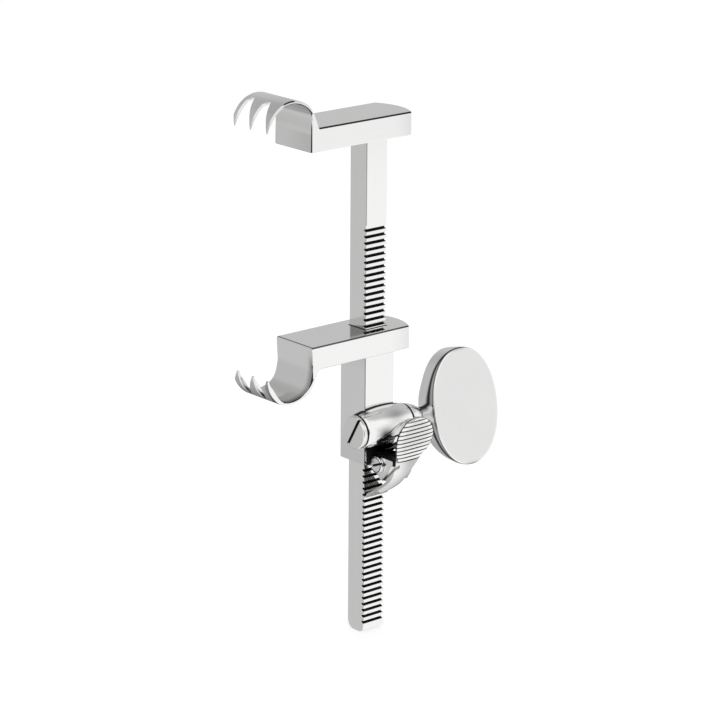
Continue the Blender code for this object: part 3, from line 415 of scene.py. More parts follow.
def screw_dark_paint(tree):
    """Painted shade in the slots, in the gap behind the bearing screw's head and on the side of the pawl screw's
    head, and a thin painted dark ring on the pawl screw's face.
    """
    x, y, z = tree.millimetres()
    parted, rim = 70.0, 0.28
    ring_in, ring_out = PAWL_HEAD_R - 0.72, PAWL_HEAD_R - 0.36
    forward, up, reach = offsets(y, z, AXIS_Y, AXIS_Z)
    turn = math.radians(BEARING_SLOT_ANGLE)
    aside = (up * math.cos(turn) - forward * math.sin(turn)).size()
    deep = x.above(node_box("bearing_screw")[0][0] + FACE_REACH)
    slot = deep.either(aside.step(0.75, 0.45)) * reach.below(HEAD_R - rim)
    large = z.above(parted) * slot.either(x.above(HOUSING_LEFT - HEAD_GAP - FACE_REACH))
    reach = offsets(y, z, PAWL_Y, PAWL_Z)[2]
    slot = x.above(node_box("pawl_screw")[0][0] + FACE_REACH) * reach.below(ring_in)
    small = z.below(parted) * (reach.between(ring_in, ring_out) + slot + x.above(PAWL_LEFT - 0.15))
    return (large + small).capped()


def dress(name, material, bevel=0.0):
    """Give a CAD node a finish, smooth round faces and crisp edges; the bevel's width is in millimetres."""
    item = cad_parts[name]
    item.data.materials.clear()
    item.data.materials.append(material)
    if item.data.attributes.get("custom_normal") is not None:
        item.data.attributes.remove(item.data.attributes["custom_normal"])
    item.data.shade_smooth()
    item.modifiers.new("weld", "WELD").merge_threshold = WELD_REACH * MM
    if bevel > 0.0:
        edges = item.modifiers.new("edges", "BEVEL")
        edges.width = bevel * MM
        edges.segments = 1
        edges.limit_method = "ANGLE"
        edges.angle_limit = math.radians(BEVEL_ANGLE)
    split = item.modifiers.new("split", "EDGE_SPLIT")
    split.split_angle = math.radians(SHARP_ANGLE)
    split.use_edge_sharp = False


class Skin:
    """Closed bodies made of point grids in millimetres; every grid is one smooth surface of a body."""

    def __init__(self):
        self.points = []
        self.faces = []
        self.count = 0
        self.body_start = 0
        self.body_ends = []

    def grid(self, points, wrap=False):
        """Add a grid of points, rows by columns by three, as quads; wrap joins the last column to the first."""
        points = np.asarray(points, dtype=float)
        rows, cols = points.shape[:2]
        index = self.count + np.arange(rows * cols).reshape(rows, cols)
        if wrap:
            index = np.concatenate([index, index[:, :1]], axis=1)
        corners = (index[:-1, :-1], index[:-1, 1:], index[1:, 1:], index[1:, :-1])
        self.points.append(points.reshape(-1, 3))
        self.faces.append(np.stack([corner.ravel() for corner in corners], axis=1))
        self.count += rows * cols

    def fan(self, ring, flip=False):
        """Close a ring of points with triangles to its middle."""
        ring = np.asarray(ring, dtype=float)
        middle = np.broadcast_to(ring.mean(axis=0), ring.shape)
        rows = np.stack([middle, ring] if flip else [ring, middle])
        self.grid(rows, wrap=True)

    def tube(self, rows):
        """Add a body made of closed rings, shut by a fan at both ends."""
        self.grid(rows, wrap=True)
        self.fan(rows[0])
        self.fan(rows[-1], flip=True)
        self.end_body()

    def end_body(self):
        """Turn the faces of the body that ends here outwards, judged by its signed volume."""
        points = np.concatenate(self.points)
        part = self.faces[self.body_start:]
        quads = np.concatenate(part)
        a, b, c, d = (points[quads[:, k]] for k in range(4))
        if (a * (np.cross(b, c) + np.cross(c, d))).sum() < 0.0:
            self.faces[self.body_start:] = [faces[:, ::-1] for faces in part]
        self.body_start = len(self.faces)
        self.body_ends.append(self.count)

    def build(self, name, material):
        """Merge the points of a body that coincide, drop empty faces and make the object, in metres."""
        points = np.concatenate(self.points)
        quads = np.concatenate(self.faces)
        body = np.searchsorted(self.body_ends, np.arange(len(points)), side="right")
        keys = np.column_stack([np.round(points / MERGE_REACH).astype(np.int64), body])
        _, first, inverse = np.unique(keys, axis=0, return_index=True, return_inverse=True)
        quads = inverse.reshape(-1)[quads]
        kept = quads != np.roll(quads, 1, axis=1)
        crossed = (quads[:, 0] == quads[:, 2]) | (quads[:, 1] == quads[:, 3])
        whole = quads[(kept.sum(axis=1) == 4) & ~crossed]
        three = (kept.sum(axis=1) == 3) & ~crossed
        corners = quads[three][kept[three]].reshape(-1, 3)
        mesh = bpy.data.meshes.new(name)
        mesh.from_pydata((points[first] * MM).tolist(), [], whole.tolist() + corners.tolist())
        mesh.update()
        mesh.shade_smooth()
        mesh.set_sharp_from_angle(angle=math.radians(SHARP_ANGLE))
        mesh.materials.append(material)
        item = bpy.data.objects.new(name, mesh)
        bpy.context.scene.collection.objects.link(item)
        return item


def full_turn(steps):
    """Angles of even steps round a full circle."""
    return 2.0 * np.pi * np.arange(steps) / steps


def quarter_turn(steps=5):
    """Angles from 0 to a right angle."""
    return np.radians(np.linspace(0.0, 90.0, steps))


def turned(profile, steps):
    """Turn (x, radius) pairs about the pinion's axis: y and z are the radius times cosine and sine of the angle."""
    profile = np.asarray(profile, dtype=float)
    angle = full_turn(steps)
    x = np.repeat(profile[:, :1], steps, axis=1)
    y = AXIS_Y + profile[:, 1:] * np.cos(angle)
    z = AXIS_Z + profile[:, 1:] * np.sin(angle)
    return np.stack([x, y, z], axis=-1)


def ramp(value, low, high):
    """A straight ramp from 0 at low to 1 at high."""
    return np.clip((value - low) / (high - low), 0.0, 1.0)


def smooth_step(value, low=0.0, high=1.0):
    """A smooth step from 0 at low to 1 at high: three times the ramp's square less twice its cube."""
    value = ramp(value, low, high)
    return value * value * (3.0 - 2.0 * value)


def bell(value, centre, width):
    """A bell curve of height 1: e to the power of minus the squared distance over the squared width."""
    return np.exp(-(((value - centre) / width) ** 2))


def ring_pattern(middles):
    """The points round a rounded rectangle, as rows of side, top, cosine, sine, two small pulls and a share across.

    Every corner is a quarter circle between two points that are pulled in a little from the flats beside it.
    """
    rows = []
    first_share, last_share = 0.03, 0.97
    arc = quarter_turn()
    for side, top in ((-1, 1), (1, 1), (1, 0), (-1, 0)):
        up = 2.0 * top - 1.0
        forward = side * up < 0
        sweep = arc if forward else arc[::-1]
        face = (side, top, side, 0.0, 0.0, 1.0, -1.0)
        flat = (side, top, 0.0, up, 1.0, 0.0, -1.0)
        curve = [(side, top, side * math.cos(a), up * math.sin(a), 0.0, 0.0, -1.0) for a in sweep]
        if not forward:
            shares = np.linspace(first_share, last_share, middles)[::1 if top else -1]
            rows += [(0, top, 0.0, 0.0, 0.0, 0.0, share) for share in shares]
        rows += [face, *curve, flat] if forward else [flat, *curve, face]
    return np.array(rows).T


def ribbon(skin, outer, inner, y_low, y_high, radius, inset=0.0):
    """A bar whose section is a rounded rectangle: at every station it reaches from an inner to an outer point
    in X and Z and between two places in Y. The radius is one number, or one for each side.

    Near the right end every point moves left by the height of a circle's arc over its distance from the middle.
    """
    outer, inner = np.asarray(outer, dtype=float), np.asarray(inner, dtype=float)
    count = len(outer)
    middles, most_round, pull_share, most_pull = 15, 0.4, 0.1, 0.04
    y_low, y_high, inset = (np.broadcast_to(value, count)[:, None] for value in (y_low, y_high, inset))
    side, top, cosine, sine, pull_y, pull_b, share = ring_pattern(middles)
    thick = np.linalg.norm(outer - inner, axis=1)[:, None]
    low, high = y_low + inset, y_high - inset
    limit = most_round * np.minimum(thick - 2.0 * inset, high - low)
    round_low, round_high = (np.minimum(value, limit) for value in np.broadcast_to(radius, 2))
    bend = np.where(side < 0, round_low, round_high)
    pull = np.minimum(most_pull, pull_share * bend)
    edge = np.where(side < 0, low + bend, high - bend)
    across = edge + bend * cosine - side * pull * pull_y
    across = np.where(share >= 0.0, low + round_low + (high - low - round_low - round_high) * share, across)
    base = np.where(top > 0, thick - inset - bend, inset + bend)
    lift = base + bend * sine - (2.0 * top - 1.0) * pull * pull_b
    lift = np.where(share >= 0.0, np.where(top > 0, thick - inset, inset), lift)
    way = (outer - inner) / thick
    x = inner[:, :1] + way[:, :1] * lift
    z = inner[:, 1:] + way[:, 1:] * lift
    bow = (ARM_D / 2.0) ** 2 / (2.0 * (ARM_RIGHT - ARM_CORNER_X)) + (ARM_RIGHT - ARM_CORNER_X) / 2.0
    x = x - (bow - np.sqrt(bow * bow - across * across)) * smooth_step(x, ARM_BOW_START, ARM_RIGHT)
    rows = np.stack([x, across, z], axis=-1)
    half = rows.shape[1] // 2
    skin.grid(rows, wrap=True)
    for end in (0, -1):
        sides = [rows[end, :half], rows[end, half:][::-1]]
        skin.grid(np.stack(sides if end else sides[::-1]))
    skin.end_body()


def upper_shape(angle):
    """Outer and inner radius of the upper hook's plate at angles in degrees.

    The outer radius is drawn in along a ramp and by a bell near the root. The plate thins along a smooth step,
    and towards the tip it tapers with the square of the way.
    """
    root_draw, taper_start, taper = 0.4, 140.0, 0.75
    full = UPPER_HOOK_R - UPPER_DRAW * ramp(angle, 95.0, 155.0) - root_draw * bell(angle, 24.0, 16.0)
    thick = UPPER_ROOT_T + (UPPER_PLATE_T - UPPER_ROOT_T) * smooth_step(angle, 0.0, 38.0)
    return full, full - thick * (1.0 - taper * ramp(angle, taper_start, UPPER_TIP_ANGLE) ** 2)


def lower_shape(angle):
    """Outer and inner radius of the lower hook's plate at angles in degrees.

    The outer radius swells by two bells and is drawn in along a bent ramp. The plate thickens by a ramp and a bell
    and thins along a ramp towards the tip.
    """
    draw_power, root_swell, low_swell, taper_start, taper = 0.9, 0.7, 0.35, 150.0, 0.5
    drawn = LOWER_DRAW * ramp(angle, 112.0, 171.0) ** draw_power
    full = LOWER_HOOK_R + root_swell * bell(angle, 45.0, 24.0) + low_swell * bell(angle, 104.0, 22.0) - drawn
    root = 1.0 - ramp(angle, 26.0, 60.0)
    thick = LOWER_PLATE_T + LOWER_ROOT_EXTRA * root + LOWER_PRONG_EXTRA * bell(angle, 140.0, 22.0)
    return full, full - thick * (1.0 - taper * ramp(angle, taper_start, LOWER_TIP_ANGLE))


def plate(shape, centre, angle, sign):
    """Outer and inner points of a hook's plate: its radii round the centre, in X and Z, at angles in degrees.

    The lower hook hangs, so its sign is -1.
    """
    a = np.radians(angle)
    way = np.column_stack([np.cos(a), sign * np.sin(a)])
    return [np.array(centre) + radius[:, None] * way for radius in shape(angle)]


def prongs(skin, centre, sign, shape, split, tip, sides, root, end):
    """Three prongs, each straight on its -Y side and tapered on the other, parted by gaps that start narrow."""
    beyond, opening, stations = 1.5, 0.2, 34
    angle = np.linspace(split, tip, stations)
    share = (angle - split) / (tip + beyond - split)
    outer, inner = plate(shape, centre, angle, sign)
    past = None
    for low in (ARM_FRONT, sides[1], sides[0]):
        start = low + end + (root - end) * (1.0 - share)
        near = np.full(stations, low)
        if past is not None:
            near = np.minimum(low, past + PRONG_GAP + (low - past) * np.minimum(share / opening, 1.0))
        ribbon(skin, outer, inner, near, np.minimum(start, -ARM_FRONT), PRONG_ROUND)
        past = start


def level(start, end, z, count):
    """Points along X at one height."""
    return np.column_stack([np.linspace(start, end, count), np.full(count, z)])


def inner_line(start_x, end_x, z, up, radius, count, hook):
    """An arm's inner side: level, a quarter circle at the corner, the end face up or down and the hook's plate."""
    arc = quarter_turn()
    corner = np.column_stack([end_x + radius * (1.0 - np.sin(arc)), z + up * radius * (1.0 - np.cos(arc))])
    face = np.linspace([end_x, z + up * (radius + APART)], hook[0], 9)[:-1]
    return np.concatenate([level(start_x, end_x + radius + APART, z, count), corner, face, hook])


def right_end(x_stop, z_outer, z_inner, radius, count=9):
    """Stations from the rounded right end of an arm to a place along it, with how far each is drawn in."""
    arc = quarter_turn()[::-1]
    start = ARM_RIGHT - radius
    x = np.concatenate([start + radius * np.sin(arc), np.linspace(start - APART, x_stop, count)])
    inset = np.concatenate([radius * (1.0 - np.cos(arc)), np.zeros(count)])
    outer, inner = (np.column_stack([x, np.full(len(x), z)]) for z in (z_outer, z_inner))
    return outer, inner, inset


def upper_arm_skin(skin, radius):
    """The fixed arm: a straight bar with rounded edges, an upright end face and the arched plate above it."""
    low, top = UPPER_ARM_Z, UPPER_ARM_Z + ARM_T
    centre = (UPPER_HOOK_X, low + UPPER_HOOK_RISE)
    bar_stop, under_start, over_start = -29.5, -31.5, -30.0
    outer, inner, inset = right_end(bar_stop, top, low, radius)
    start = 1.0
    for _ in range(20):
        full = upper_shape(np.array([start]))[0][0]
        start = math.degrees(math.asin((top - centre[1]) / full))
    angle = np.concatenate([np.linspace(-4.0, 30.0, 18), np.linspace(33.0, UPPER_SPLIT_ANGLE, 40)])
    under = plate(upper_shape, centre, angle, 1.0)[1]
    inner_more = inner_line(under_start, UPPER_END_X, low, 1.0, radius, 2, under)
    turn = np.interp(angle, (-4.0, 33.0, 200.0), (13.8, 33.0, 200.0))
    turn = np.concatenate([np.linspace(start, 13.0, 8), turn])
    over = plate(upper_shape, centre, turn, 1.0)[0]
    outer = np.concatenate([outer, level(over_start, over[0, 0] + 0.03, top, 7), over])
    inner = np.concatenate([inner, inner_more])
    inset = np.concatenate([inset, np.zeros(len(inner_more))])
    ribbon(skin, outer, inner, ARM_FRONT, -ARM_FRONT, radius, inset)
    prongs(skin, centre, 1.0, upper_shape, UPPER_SPLIT_ANGLE, UPPER_TIP_ANGLE,
           UPPER_GAPS, UPPER_PRONG_ROOT, UPPER_PRONG_END)


def lower_arm_skin(skin, radius):
    """The sliding arm: a bar parted round the window, an end face that runs into the upturned hook, and a
    fillet below."""
    low, top = LOWER_ARM_Z, LOWER_ARM_Z + ARM_T
    centre = (LOWER_HOOK_X, low + LOWER_HOOK_RISE)
    outer, inner, inset = right_end(WINDOW_X, low, top, radius)
    ribbon(skin, outer, inner, ARM_FRONT, -ARM_FRONT, radius, inset)
    rail_outer, rail_inner = level(WINDOW_X, -WINDOW_X, low, 3), level(WINDOW_X, -WINDOW_X, top, 3)
    ribbon(skin, rail_outer, rail_inner, ARM_FRONT, -WINDOW_Y, (radius, WINDOW_ROUND))
    ribbon(skin, rail_outer, rail_inner, WINDOW_Y, -ARM_FRONT, (WINDOW_ROUND, radius))
    first = LOWER_FILLET_ANGLE
    angle = np.concatenate([np.linspace(first, 34.0, 14), np.linspace(36.0, LOWER_SPLIT_ANGLE, 40)])
    outside, inside = plate(lower_shape, centre, angle, -1.0)
    inner = inner_line(-WINDOW_X, LOWER_END_X, top, -1.0, radius, 8, inside)
    root = outside[0, 0] + 0.05
    sweep = quarter_turn(13)[::-1]
    fillet = [root + LOWER_FILLET * (1.0 - np.cos(sweep)), low - LOWER_FILLET * (1.0 - np.sin(sweep))]
    fillet = np.column_stack(fillet)
    turn = np.interp(angle, (first, 36.0, 200.0), (20.5, 36.0, 200.0))
    over = plate(lower_shape, centre, turn, -1.0)[0]
    outer = np.concatenate([level(-WINDOW_X, fillet[0, 0] + APART, low, 8), fillet, over])
    ribbon(skin, outer, inner, ARM_FRONT, -ARM_FRONT, radius)
    prongs(skin, centre, -1.0, lower_shape, LOWER_SPLIT_ANGLE, LOWER_TIP_ANGLE,
           LOWER_GAPS, LOWER_PRONG_ROOT, LOWER_PRONG_END)


def key_point(u, w, v):
    """Points of the key from their place along the shaft, in front of the axis and up the plate."""
    tilt = math.radians(KEY_TILT)
    y = AXIS_Y - w * math.cos(tilt) + v * math.sin(tilt)
    z = AXIS_Z + w * math.sin(tilt) + v * math.cos(tilt)
    return np.stack(np.broadcast_arrays(u, y, z), axis=-1)


def oval(angle, inset=0.0):
    """The key's outline, pulled in by a distance: cosine and sine, each to the power of two over the oval's own."""
    power = 2.0 / KEY_POWER
    c, s = np.cos(angle), np.sin(angle)
    u = (KEY_HALF_LEN - inset) * np.sign(c) * np.abs(c) ** power
    v = (KEY_HALF_HEIGHT - inset) * np.sign(s) * np.abs(s) ** power
    return KEY_X + u, v


def rim_depth(angle):
    """Thickness of the key's rim: deep along the neck's side by two smooth steps, with a bell at the root."""
    degrees = np.degrees(angle) % 360.0
    side = smooth_step(degrees, 72.0, 98.0) * (1.0 - smooth_step(degrees, 200.0, 262.0))
    root = bell(degrees, 172.0, 18.0)
    return KEY_THIN + (KEY_SIDE_T - KEY_THIN) * side + (KEY_ROOT_T - KEY_SIDE_T) * root


def key_plate(skin):
    """The key's plate: flat front, a rounded front edge, the rim's band and a back that swells to the middle."""
    angle = full_turn(192)
    depth = rim_depth(angle)
    u, v = oval(angle)
    rows = []
    for share in (1.0, 0.97, 0.6, 0.3, 0.1):
        rows.append(key_point(KEY_X + (u - KEY_X) * (1.0 - share), KEY_FRONT, v * (1.0 - share)))
    for a in quarter_turn():
        edge_u, edge_v = oval(angle, KEY_EDGE * (1.0 - math.sin(a)))
        rows.append(key_point(edge_u, KEY_FRONT - KEY_EDGE * (1.0 - math.cos(a)), edge_v))
    for share in (0.25, 0.5, 0.75):
        rows.append(key_point(u, KEY_FRONT - KEY_EDGE - (depth - KEY_BACK_START - KEY_EDGE) * share, v))
    for a in quarter_turn(6):
        edge_u, edge_v = oval(angle, KEY_BACK_EDGE * (1.0 - math.cos(a)))
        rows.append(key_point(edge_u, KEY_FRONT - depth + KEY_BACK_START - KEY_BACK_EDGE * math.sin(a), edge_v))
    edge_u, edge_v = oval(angle, KEY_BACK_EDGE)
    back_depth = depth - KEY_BACK_START + KEY_BACK_EDGE
    for away in 1.0 - np.linspace(0.04, 1.0, 18):
        full = KEY_MID_T + (back_depth - KEY_MID_T) * smooth_step(away)
        rows.append(key_point(KEY_X + (edge_u - KEY_X) * away, KEY_FRONT - full, edge_v * away))
    skin.grid(np.stack(rows), wrap=True)
    skin.end_body()


def key_neck(skin):
    """The neck: round at the bush and flared until it lies along the rim of the plate on every side.

    Each point goes from the round end to the rim by powers of its share: along the shaft, forwards and upwards.
    """
    along_power, forward_power, up_power, sunk = 1.7, 2.6, 3.4, 0.25
    around = full_turn(96)
    share = np.linspace(0.0, 1.0, 30)[:, None]
    front, back = KEY_FRONT - sunk, KEY_FRONT - KEY_ROOT_T + KEY_NECK_BACK
    end_w = (front + back) / 2.0 + (front - back) / 2.0 * np.cos(around)
    end_v = KEY_NECK_SPREAD * np.sin(around)
    rim = np.sqrt(np.clip(1.0 - (np.abs(end_v) / KEY_HALF_HEIGHT) ** KEY_POWER, 0.0, 1.0))
    end_u = KEY_X - KEY_HALF_LEN * rim + sunk
    grow, lift = share ** forward_power, share ** up_power
    u = KEY_START + (end_u - KEY_START) * (1.0 - (1.0 - share) ** along_power)
    w = KEY_NECK_R * np.cos(around) * (1.0 - grow) + end_w * grow
    v = KEY_NECK_R * np.sin(around) * (1.0 - lift) + end_v * lift
    skin.tube(key_point(u, w, v))


def housing_skin(skin):
    """The barrel, full in the middle by a power of half a sine wave and cut off flat behind the sleeve's front."""
    first, fullness, step_w, recess, lip, bore_gap = 0.35, 0.7, 0.004, 1.4, 0.3, 0.15
    share = np.linspace(0.0, 1.0, 60)
    x = HOUSING_LEFT + first + (HOUSING_RIGHT - HOUSING_LEFT - first) * share
    end = HOUSING_END_R + (HOUSING_SHOULDER_R - HOUSING_END_R) * share
    radius = end + (HOUSING_MID_R - end) * np.sin(np.pi * share) ** fullness
    profile = [(HOUSING_LEFT, HEAD_R - recess), (HOUSING_LEFT, HOUSING_END_R - lip)]
    profile = np.array(profile + list(zip(x, radius)) + [(HOUSING_RIGHT, SHAFT_R + bore_gap)])
    half = SLEEVE_W / 2.0
    for edge in (-half, half):
        k = int(np.searchsorted(profile[:, 0], edge))
        near = np.interp(edge, profile[:, 0], profile[:, 1])
        profile = np.insert(profile, k, [(edge - step_w, near), (edge + step_w, near)], axis=0)
    rows = turned(profile, 160)
    inside = np.abs(rows[..., 0]) < half
    rows[..., 1] = np.where(inside, np.minimum(rows[..., 1], SLEEVE_FRONT - TOUCH), rows[..., 1])
    skin.tube(rows)


def lug_skin(skin):
    """The lug that carries the pawl, round at its end, and the boss that joins it to the barrel."""
    back = SLEEVE_FRONT - TOUCH
    sweep = np.linspace(math.acos(1.0 / LUG_R), math.radians(LUG_TURN), 25)
    arc = np.column_stack([PAWL_Y + LUG_R * np.cos(sweep), PAWL_Z + LUG_R * np.sin(sweep)])
    lug = np.concatenate([arc, [(back, PAWL_Z), (back, LUG_TOP), (LUG_BACK, LUG_TOP)]])
    slab(skin, lug, LUG_LEFT, LUG_RIGHT, LUG_CHAMFER)
    boss = [(LUG_BACK, BOSS_LOW), (back, BOSS_LOW), (back, LUG_TOP), (LUG_BACK, LUG_TOP)]
    slab(skin, boss, LUG_LEFT, BOSS_RIGHT, LUG_CHAMFER)


def bush_skin(skin):
    """The end bush: its radius falls from the shoulder to the tip by a power of the way along, round a bore."""
    dome, shoulder, lip = 1.7, 0.12, 0.35
    share = np.linspace(0.0, 1.0, 40)
    x = HOUSING_RIGHT + BUSH_STEP + (BUSH_END - HOUSING_RIGHT - BUSH_STEP) * share
    radius = BUSH_TIP_R + (HOUSING_SHOULDER_R - shoulder - BUSH_TIP_R) * (1.0 - share ** dome)
    bore = SHAFT_R + SHAFT_GAP
    profile = [(HOUSING_RIGHT, bore), (HOUSING_RIGHT, HOUSING_SHOULDER_R - lip), *zip(x, radius)]
    profile += [(BUSH_END, bore), (HOUSING_RIGHT, bore)]
    skin.grid(turned(profile, 128), wrap=True)
    skin.end_body()


def drawn_in(outline, inset):
    """An outline in Y and Z with every point moved towards its middle by a distance."""
    middle = outline.mean(axis=0)
    reach = np.linalg.norm(outline - middle, axis=1, keepdims=True)
    return middle + (outline - middle) * (1.0 - inset / reach)


def across_x(x, outline):
    """The points of an outline in Y and Z at a place along X."""
    return np.column_stack([np.full(len(outline), x), outline])


def slab(skin, outline, low, high, chamfer):
    """A plate across X with an outline in Y and Z and small chamfers round both faces."""
    outline = np.asarray(outline, dtype=float)
    inner = drawn_in(outline, chamfer)
    rings = ((low, inner), (low + chamfer, outline), (high - chamfer, outline), (high, inner))
    skin.tube(np.stack([across_x(x, ring) for x, ring in rings]))


def rounded_plate(skin, outline, low, high, inset=0.0, corner=0.0, turns=5):
    """A plate across X whose edge at the low side is a quarter round: each ring of the outline is drawn in
    towards its middle by the quarter circle's own distance, as far as inset allows at that point."""
    inset = np.broadcast_to(inset, len(outline)).reshape(-1, 1)
    rings = []
    for turn in quarter_turn(turns)[::-1]:
        ring = drawn_in(outline, inset * (1.0 - math.cos(turn)))
        rings.append(across_x(low + corner * (1.0 - math.sin(turn)), ring))
    rings.append(across_x(high, outline))
    skin.tube(np.stack(rings))


def circle(axis, radius, steps=96):
    """A circle round an axis in Y and Z: the radius times cosine and sine of even angles."""
    angle = full_turn(steps)
    return np.array(axis) + radius * np.column_stack([np.cos(angle), np.sin(angle)])


def slotted_head(skin, face, back, radius, slot, depth, angle, axis, corner):
    """A screw head across X: two half discs with rounded rims, parted by the slot, on a full disc."""
    turn = math.radians(angle)
    along, side = np.array([math.cos(turn), math.sin(turn)]), np.array([-math.sin(turn), math.cos(turn)])
    limit = math.asin(slot / 2.0 / radius)
    sweep = np.linspace(limit, math.pi - limit, 49)
    for sign in (1.0, -1.0):
        arc = radius * (np.outer(np.cos(sweep), along) + sign * np.outer(np.sin(sweep), side))
        chord = np.linspace(arc[-1], arc[0], 13)[1:-1]
        inset = np.concatenate([np.full(len(arc), corner), np.full(len(chord), SLOT_EDGE)])
        outline = np.array(axis) + np.concatenate([arc, chord])
        rounded_plate(skin, outline, face, face + depth + OVERLAP, inset, corner)
    rounded_plate(skin, circle(axis, radius), face + depth, back)


def bearing_screw_skin(skin):
    """The bearing screw: slotted head and the neck behind it, which ends at the housing's left end."""
    axis = (AXIS_Y, AXIS_Z)
    face, back = HOUSING_LEFT - HEAD_T, HOUSING_LEFT - HEAD_GAP
    slotted_head(skin, face, back, HEAD_R, SLOT_W, SLOT_DEPTH, BEARING_SLOT_ANGLE, axis, HEAD_ROUND)
    rounded_plate(skin, circle(axis, HEAD_NECK_R), back - OVERLAP, HOUSING_LEFT)


def pawl_screw_skin(skin):
    """The pawl's screw: slotted head and the round pin through the lever and the lug."""
    axis = (PAWL_Y, PAWL_Z)
    low, high = node_box("pawl_screw")
    face, back = low[0], low[0] + PAWL_HEAD_T
    slotted_head(skin, face, back, PAWL_HEAD_R, PAWL_SLOT_W, SLOT_DEPTH, PAWL_SLOT_ANGLE, axis, PAWL_HEAD_ROUND)
    rounded_plate(skin, circle(axis, PAWL_PIN_R, 64), back - OVERLAP, high[0])


def finish_for(context, name, streak_axis, dark_paint, extra_gloss=0.0):
    """Steel in the scene's colour and gloss."""
    steel = context.scene.contractor_steel
    return steel_material(name, tuple(steel.tint), steel.gloss + extra_gloss, streak_axis, dark_paint)


def new_piece(name, finish, *shapes):
    """One object from functions that each add bodies to its skin."""
    skin = Skin()
    for shape in shapes:
        shape(skin)
    return skin.build(name, finish)


class SteelSettings(bpy.types.PropertyGroup):
    """Colour and gloss of the steel and the radius of the arms' edges."""

    tint: bpy.props.FloatVectorProperty(
        name="Steel colour",
        description="Colour that polished steel reflects",
        size=3, subtype="COLOR", min=0.0, max=1.0, default=(0.86, 0.86, 0.855),
    )
    gloss: bpy.props.FloatProperty(
        name="Roughness", description="Roughness of the polished faces",
        default=0.09, min=0.0, max=1.0, subtype="FACTOR",
    )
    edge: bpy.props.FloatProperty(
        name="Edge radius", description="Radius of the arms' rounded edges",
        default=0.00045, min=0.00005, max=0.001, precision=5, subtype="DISTANCE", unit="LENGTH",
    )


class StageSettings(bpy.types.PropertyGroup):
    """Camera and floor."""

    azimuth: bpy.props.FloatProperty(
        name="Azimuth", description="Angle of the camera round the object", default=math.radians(-40.614),
        subtype="ANGLE",
    )
    elevation: bpy.props.FloatProperty(
        name="Elevation", description="Angle of the camera above the floor", default=math.radians(16.964),
        subtype="ANGLE",
    )
    roll: bpy.props.FloatProperty(
        name="Roll", description="Turn of the camera about its own axis", default=math.radians(0.402),
        subtype="ANGLE",
    )
    lens: bpy.props.FloatProperty(
        name="Lens", description="Focal length on a 36 mm sensor", default=154.14, min=10.0, unit="CAMERA",
    )
    spot: bpy.props.FloatVectorProperty(
        name="Camera place", description="Where the camera stands, in metres", size=3, subtype="TRANSLATION",
        default=(-0.68129, -0.79050, 0.41966),
    )
    floor_size: bpy.props.FloatProperty(
        name="Floor size", description="Side of the square floor", default=8.0, min=1.0, subtype="DISTANCE",
        unit="LENGTH",
    )


class CONTRACTOR_OT_rack(bpy.types.Operator):
    """Finish the toothed bar: polished faces and painted shade in the grooves"""

    bl_idname = "contractor.rack"
    bl_label = "Toothed bar"

    def execute(self, context):
        dress("rack_bar", finish_for(context, "bar_steel", ALONG_Z, rack_dark_paint), BAR_BEVEL)
        return {"FINISHED"}


class CONTRACTOR_OT_arms(bpy.types.Operator):
    """Finish the two hooked arms"""

    bl_idname = "contractor.arms"
    bl_label = "Hooked arms"

    def execute(self, context):
        finish = finish_for(context, "arm_steel", ALONG_X, arm_dark_paint)
        radius = context.scene.contractor_steel.edge / MM
        for name, shape, body in (("upper", upper_arm_skin, "rack"), ("lower", lower_arm_skin, "slider")):
            piece = new_piece(name + "_hooked_arm", finish, partial(shape, radius=radius))
            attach(piece, body)
            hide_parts(name + "_arm")
        return {"FINISHED"}


class CONTRACTOR_OT_sleeve(bpy.types.Operator):
    """Finish the sleeve, the pinion housing and its bush"""

    bl_idname = "contractor.sleeve"
    bl_label = "Sleeve and housing"

    def execute(self, context):
        dress("slide_sleeve", finish_for(context, "sleeve_steel", ALONG_Z, sleeve_dark_paint))
        finish = finish_for(context, "housing_steel", ALONG_X, housing_dark_paint)
        piece = new_piece("housing_barrel", finish, housing_skin, lug_skin)
        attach(piece, "slider")
        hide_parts("pinion_housing")
        piece = new_piece("bush_dome", finish, bush_skin)
        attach(piece, "slider")
        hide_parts("end_bush")
        return {"FINISHED"}


class CONTRACTOR_OT_key(bpy.types.Operator):
    """Finish the thumb key and the pinion"""

    bl_idname = "contractor.key"
    bl_label = "Thumb key and pinion"

    def execute(self, context):
        finish = finish_for(context, "key_steel", ALONG_Z, key_dark_paint)
        piece = new_piece("key_plate", finish, key_plate, key_neck)
        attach(piece, "pinion_and_key")
        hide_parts("thumb_key")
        dress("pinion", finish)
        return {"FINISHED"}


class CONTRACTOR_OT_lever(bpy.types.Operator):
    """Finish the pawl lever and its spring"""

    bl_idname = "contractor.lever"
    bl_label = "Pawl lever"

    def execute(self, context):
        dress("pawl_lever", finish_for(context, "lever_steel", ALONG_Z, lever_dark_paint, LEVER_EXTRA_GLOSS))
        dress("pawl_spring", steel_material("spring_steel", SPRING_TINT, SPRING_GLOSS, ALONG_Y))
        return {"FINISHED"}


class CONTRACTOR_OT_screws(bpy.types.Operator):
    """Finish the two slotted screws"""

    bl_idname = "contractor.screws"
    bl_label = "Slotted screws"

    def execute(self, context):
        gloss = context.scene.contractor_steel.gloss + SCREW_EXTRA_GLOSS
        finish = steel_material("screw_steel", SCREW_TINT, gloss, ALONG_Y, screw_dark_paint)
        for name, shape in (("bearing_screw", bearing_screw_skin), ("pawl_screw", pawl_screw_skin)):
            piece = new_piece(name + "_turned", finish, shape)
            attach(piece, "slider")
            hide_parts(name)
        return {"FINISHED"}


